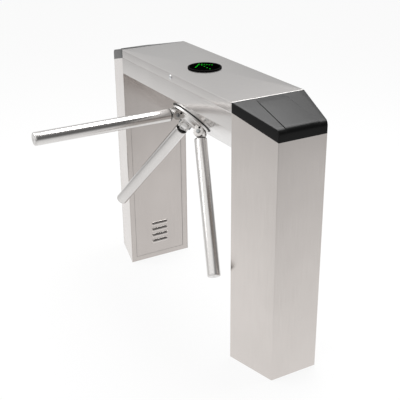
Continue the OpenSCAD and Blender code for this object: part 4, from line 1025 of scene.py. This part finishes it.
def arm_set(name, turns, body):
    """Knuckle, gasket, tube and plug of the arms that share a body, each kind as one piece."""
    prefix = "lower_arm" if len(turns) > 1 else "barrier"
    plural = "s" if len(turns) > 1 else ""
    kinds = (("knuckle", None, poles, "hub_metal"), ("gasket", gasket_profile, hoop, "black_rubber"),
             ("tube", tube_profile, hoop, "arm_steel"), ("plug", plug_profile, poles, "arm_steel"))
    for kind, profile, closing, slot in kinds:
        grids = []
        for turn in turns:
            if profile is None:
                grids += knuckle_grids(turn)
            else:
                grids.append((turned(profile, arm_axes(turn), apex, wide_sides), closing))
        piece = make_piece(name + "_" + kind, grids, slot)
        fix(piece, body, prefix + "_" + kind + plural)
        print(piece.name, len(piece.data.polygons), "faces")


arm_set("lower_arms", arm_turns[1:], "rotor")
arm_set("barrier_arm", arm_turns[:1], "barrier_arm")

# %% [markdown]
# ## Indicator
# The indicator is a round black moulding on the lid with a smoked disc and an arrow of green light dots. Its
# rim is rounded outside and bevelled inside. The dots stand a little above the disc as low domes. Both barbs
# are lit, and every second dot on the shaft, because the photo shows those dots twice as far apart. The dots
# between them are there but dark.

# %% Indicator
upright_axes = (X, Y, Z)
indicator_centre = np.array([0.0, 0.0, lid_high.z])
bezel_profile = millimetres([(47.2, -8), (49.7, -8), (49.7, 0), (64, 0), (64, 3)] + fillet(64, 3, 62, 5)
                            + [(58.4, 5), (57.4, 4.5), (57, 3.8), (57, 1.5), (47.2, 1.5)])
bezel = turned_ring("indicator_rim", bezel_profile, upright_axes, indicator_centre, "black_plastic")
fix(bezel, "lid", "indicator_bezel")
lens_profile = millimetres([(0, 1.5), (56.9, 1.5), (56.9, 4.0), (56.5, 4.4), (0, 4.4)])
lens_grid = turned(lens_profile, upright_axes, indicator_centre, wide_sides)
lens = make_piece("indicator_disc", [(lens_grid, poles)], "lens_plastic")
fix(lens, "lid", "indicator_lens")
dot_profile = millimetres([(0, 4.2), (2.1, 4.2), (2.1, 4.45), (1.8, 4.75), (1.1, 4.95), (0, 5.0)])
dot_step = 10 * mm
shaft_dots, barb_dots = 9, 5
lit_every = 2
arrow_tip = -42 * mm
shaft = np.stack([arrow_tip + dot_step * np.arange(shaft_dots), np.zeros(shaft_dots)], axis=1)
barb = (dot_step * np.arange(1, barb_dots + 1) / math.sqrt(2))[:, None]
barbs = [np.concatenate([arrow_tip + barb, sign * barb], axis=1) for sign in (-1, 1)]
lit_dots = np.concatenate([shaft[::lit_every]] + barbs)
dark_dots = shaft[1::lit_every]


def light_dots(name, places, slot):
    """One low dome at each place."""
    grids = [(turned(dot_profile, upright_axes, indicator_centre + (x, y, 0), dot_sides), poles)
             for x, y in places]
    piece = make_piece(name, grids, slot)
    return fix(piece, "lid", "arrow_leds")


for name, places, slot in (("arrow_lit_dots", lit_dots, "led_green"),
                           ("arrow_unlit_dots", dark_dots, "lens_plastic")):
    print(light_dots(name, places, slot).name, len(places))

# %% [markdown]
# ## Louvres
# The vents in the doors are pressed: the sheet is slit and pushed out into a hood that is open below. A hood
# is the product of a quarter sine from top to slit and a flat-topped fall towards both ends, so that it
# leaves the sheet smoothly everywhere but at the slit.

# %% Louvre hoods
hood_half, hood_height = 40 * mm, 16 * mm
hood_out = 4.4 * mm
hood_wall = 0.5 * mm
end_sharpness = 24
louvre_first, louvre_step, louvre_count = 78 * mm, 29 * mm, 4
louvre_low = 6.6 * mm


def hood(face_x, side, z):
    """Surface over u across and v downwards: out = sin(v * 90 degrees) * (1 - u to a high even power)."""
    u = np.sin(np.linspace(-1, 1, 41) * math.pi / 2)[None, :]
    v = np.linspace(0, 1, 15)[:, None]
    out = hood_out * np.sin(v * math.pi / 2) * (1 - u ** end_sharpness)
    down = z - louvre_low + hood_height * (1 - v) + 0 * u
    return np.stack([side * (face_x - out), hood_half * u + 0 * v, down], axis=-1)


def louvre_set(name, side):
    """The hoods of one door, with a thin wall that grows inwards."""
    face_x = min(abs(corner.x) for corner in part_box(name + "_inner_panel"))
    centres = louvre_first + louvre_step * np.arange(louvre_count)
    grids = [(hood(face_x, side, z), open_skin) for z in centres]
    hoods = make_piece(name + "_door_louvres", grids, "satin_steel", column_steel)
    wall = hoods.modifiers.new("wall", "SOLIDIFY")
    wall.thickness = hood_wall
    wall.offset = -1
    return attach(hoods, name + "_door")


for name, side in both_ends:
    print(louvre_set(name, side).name)
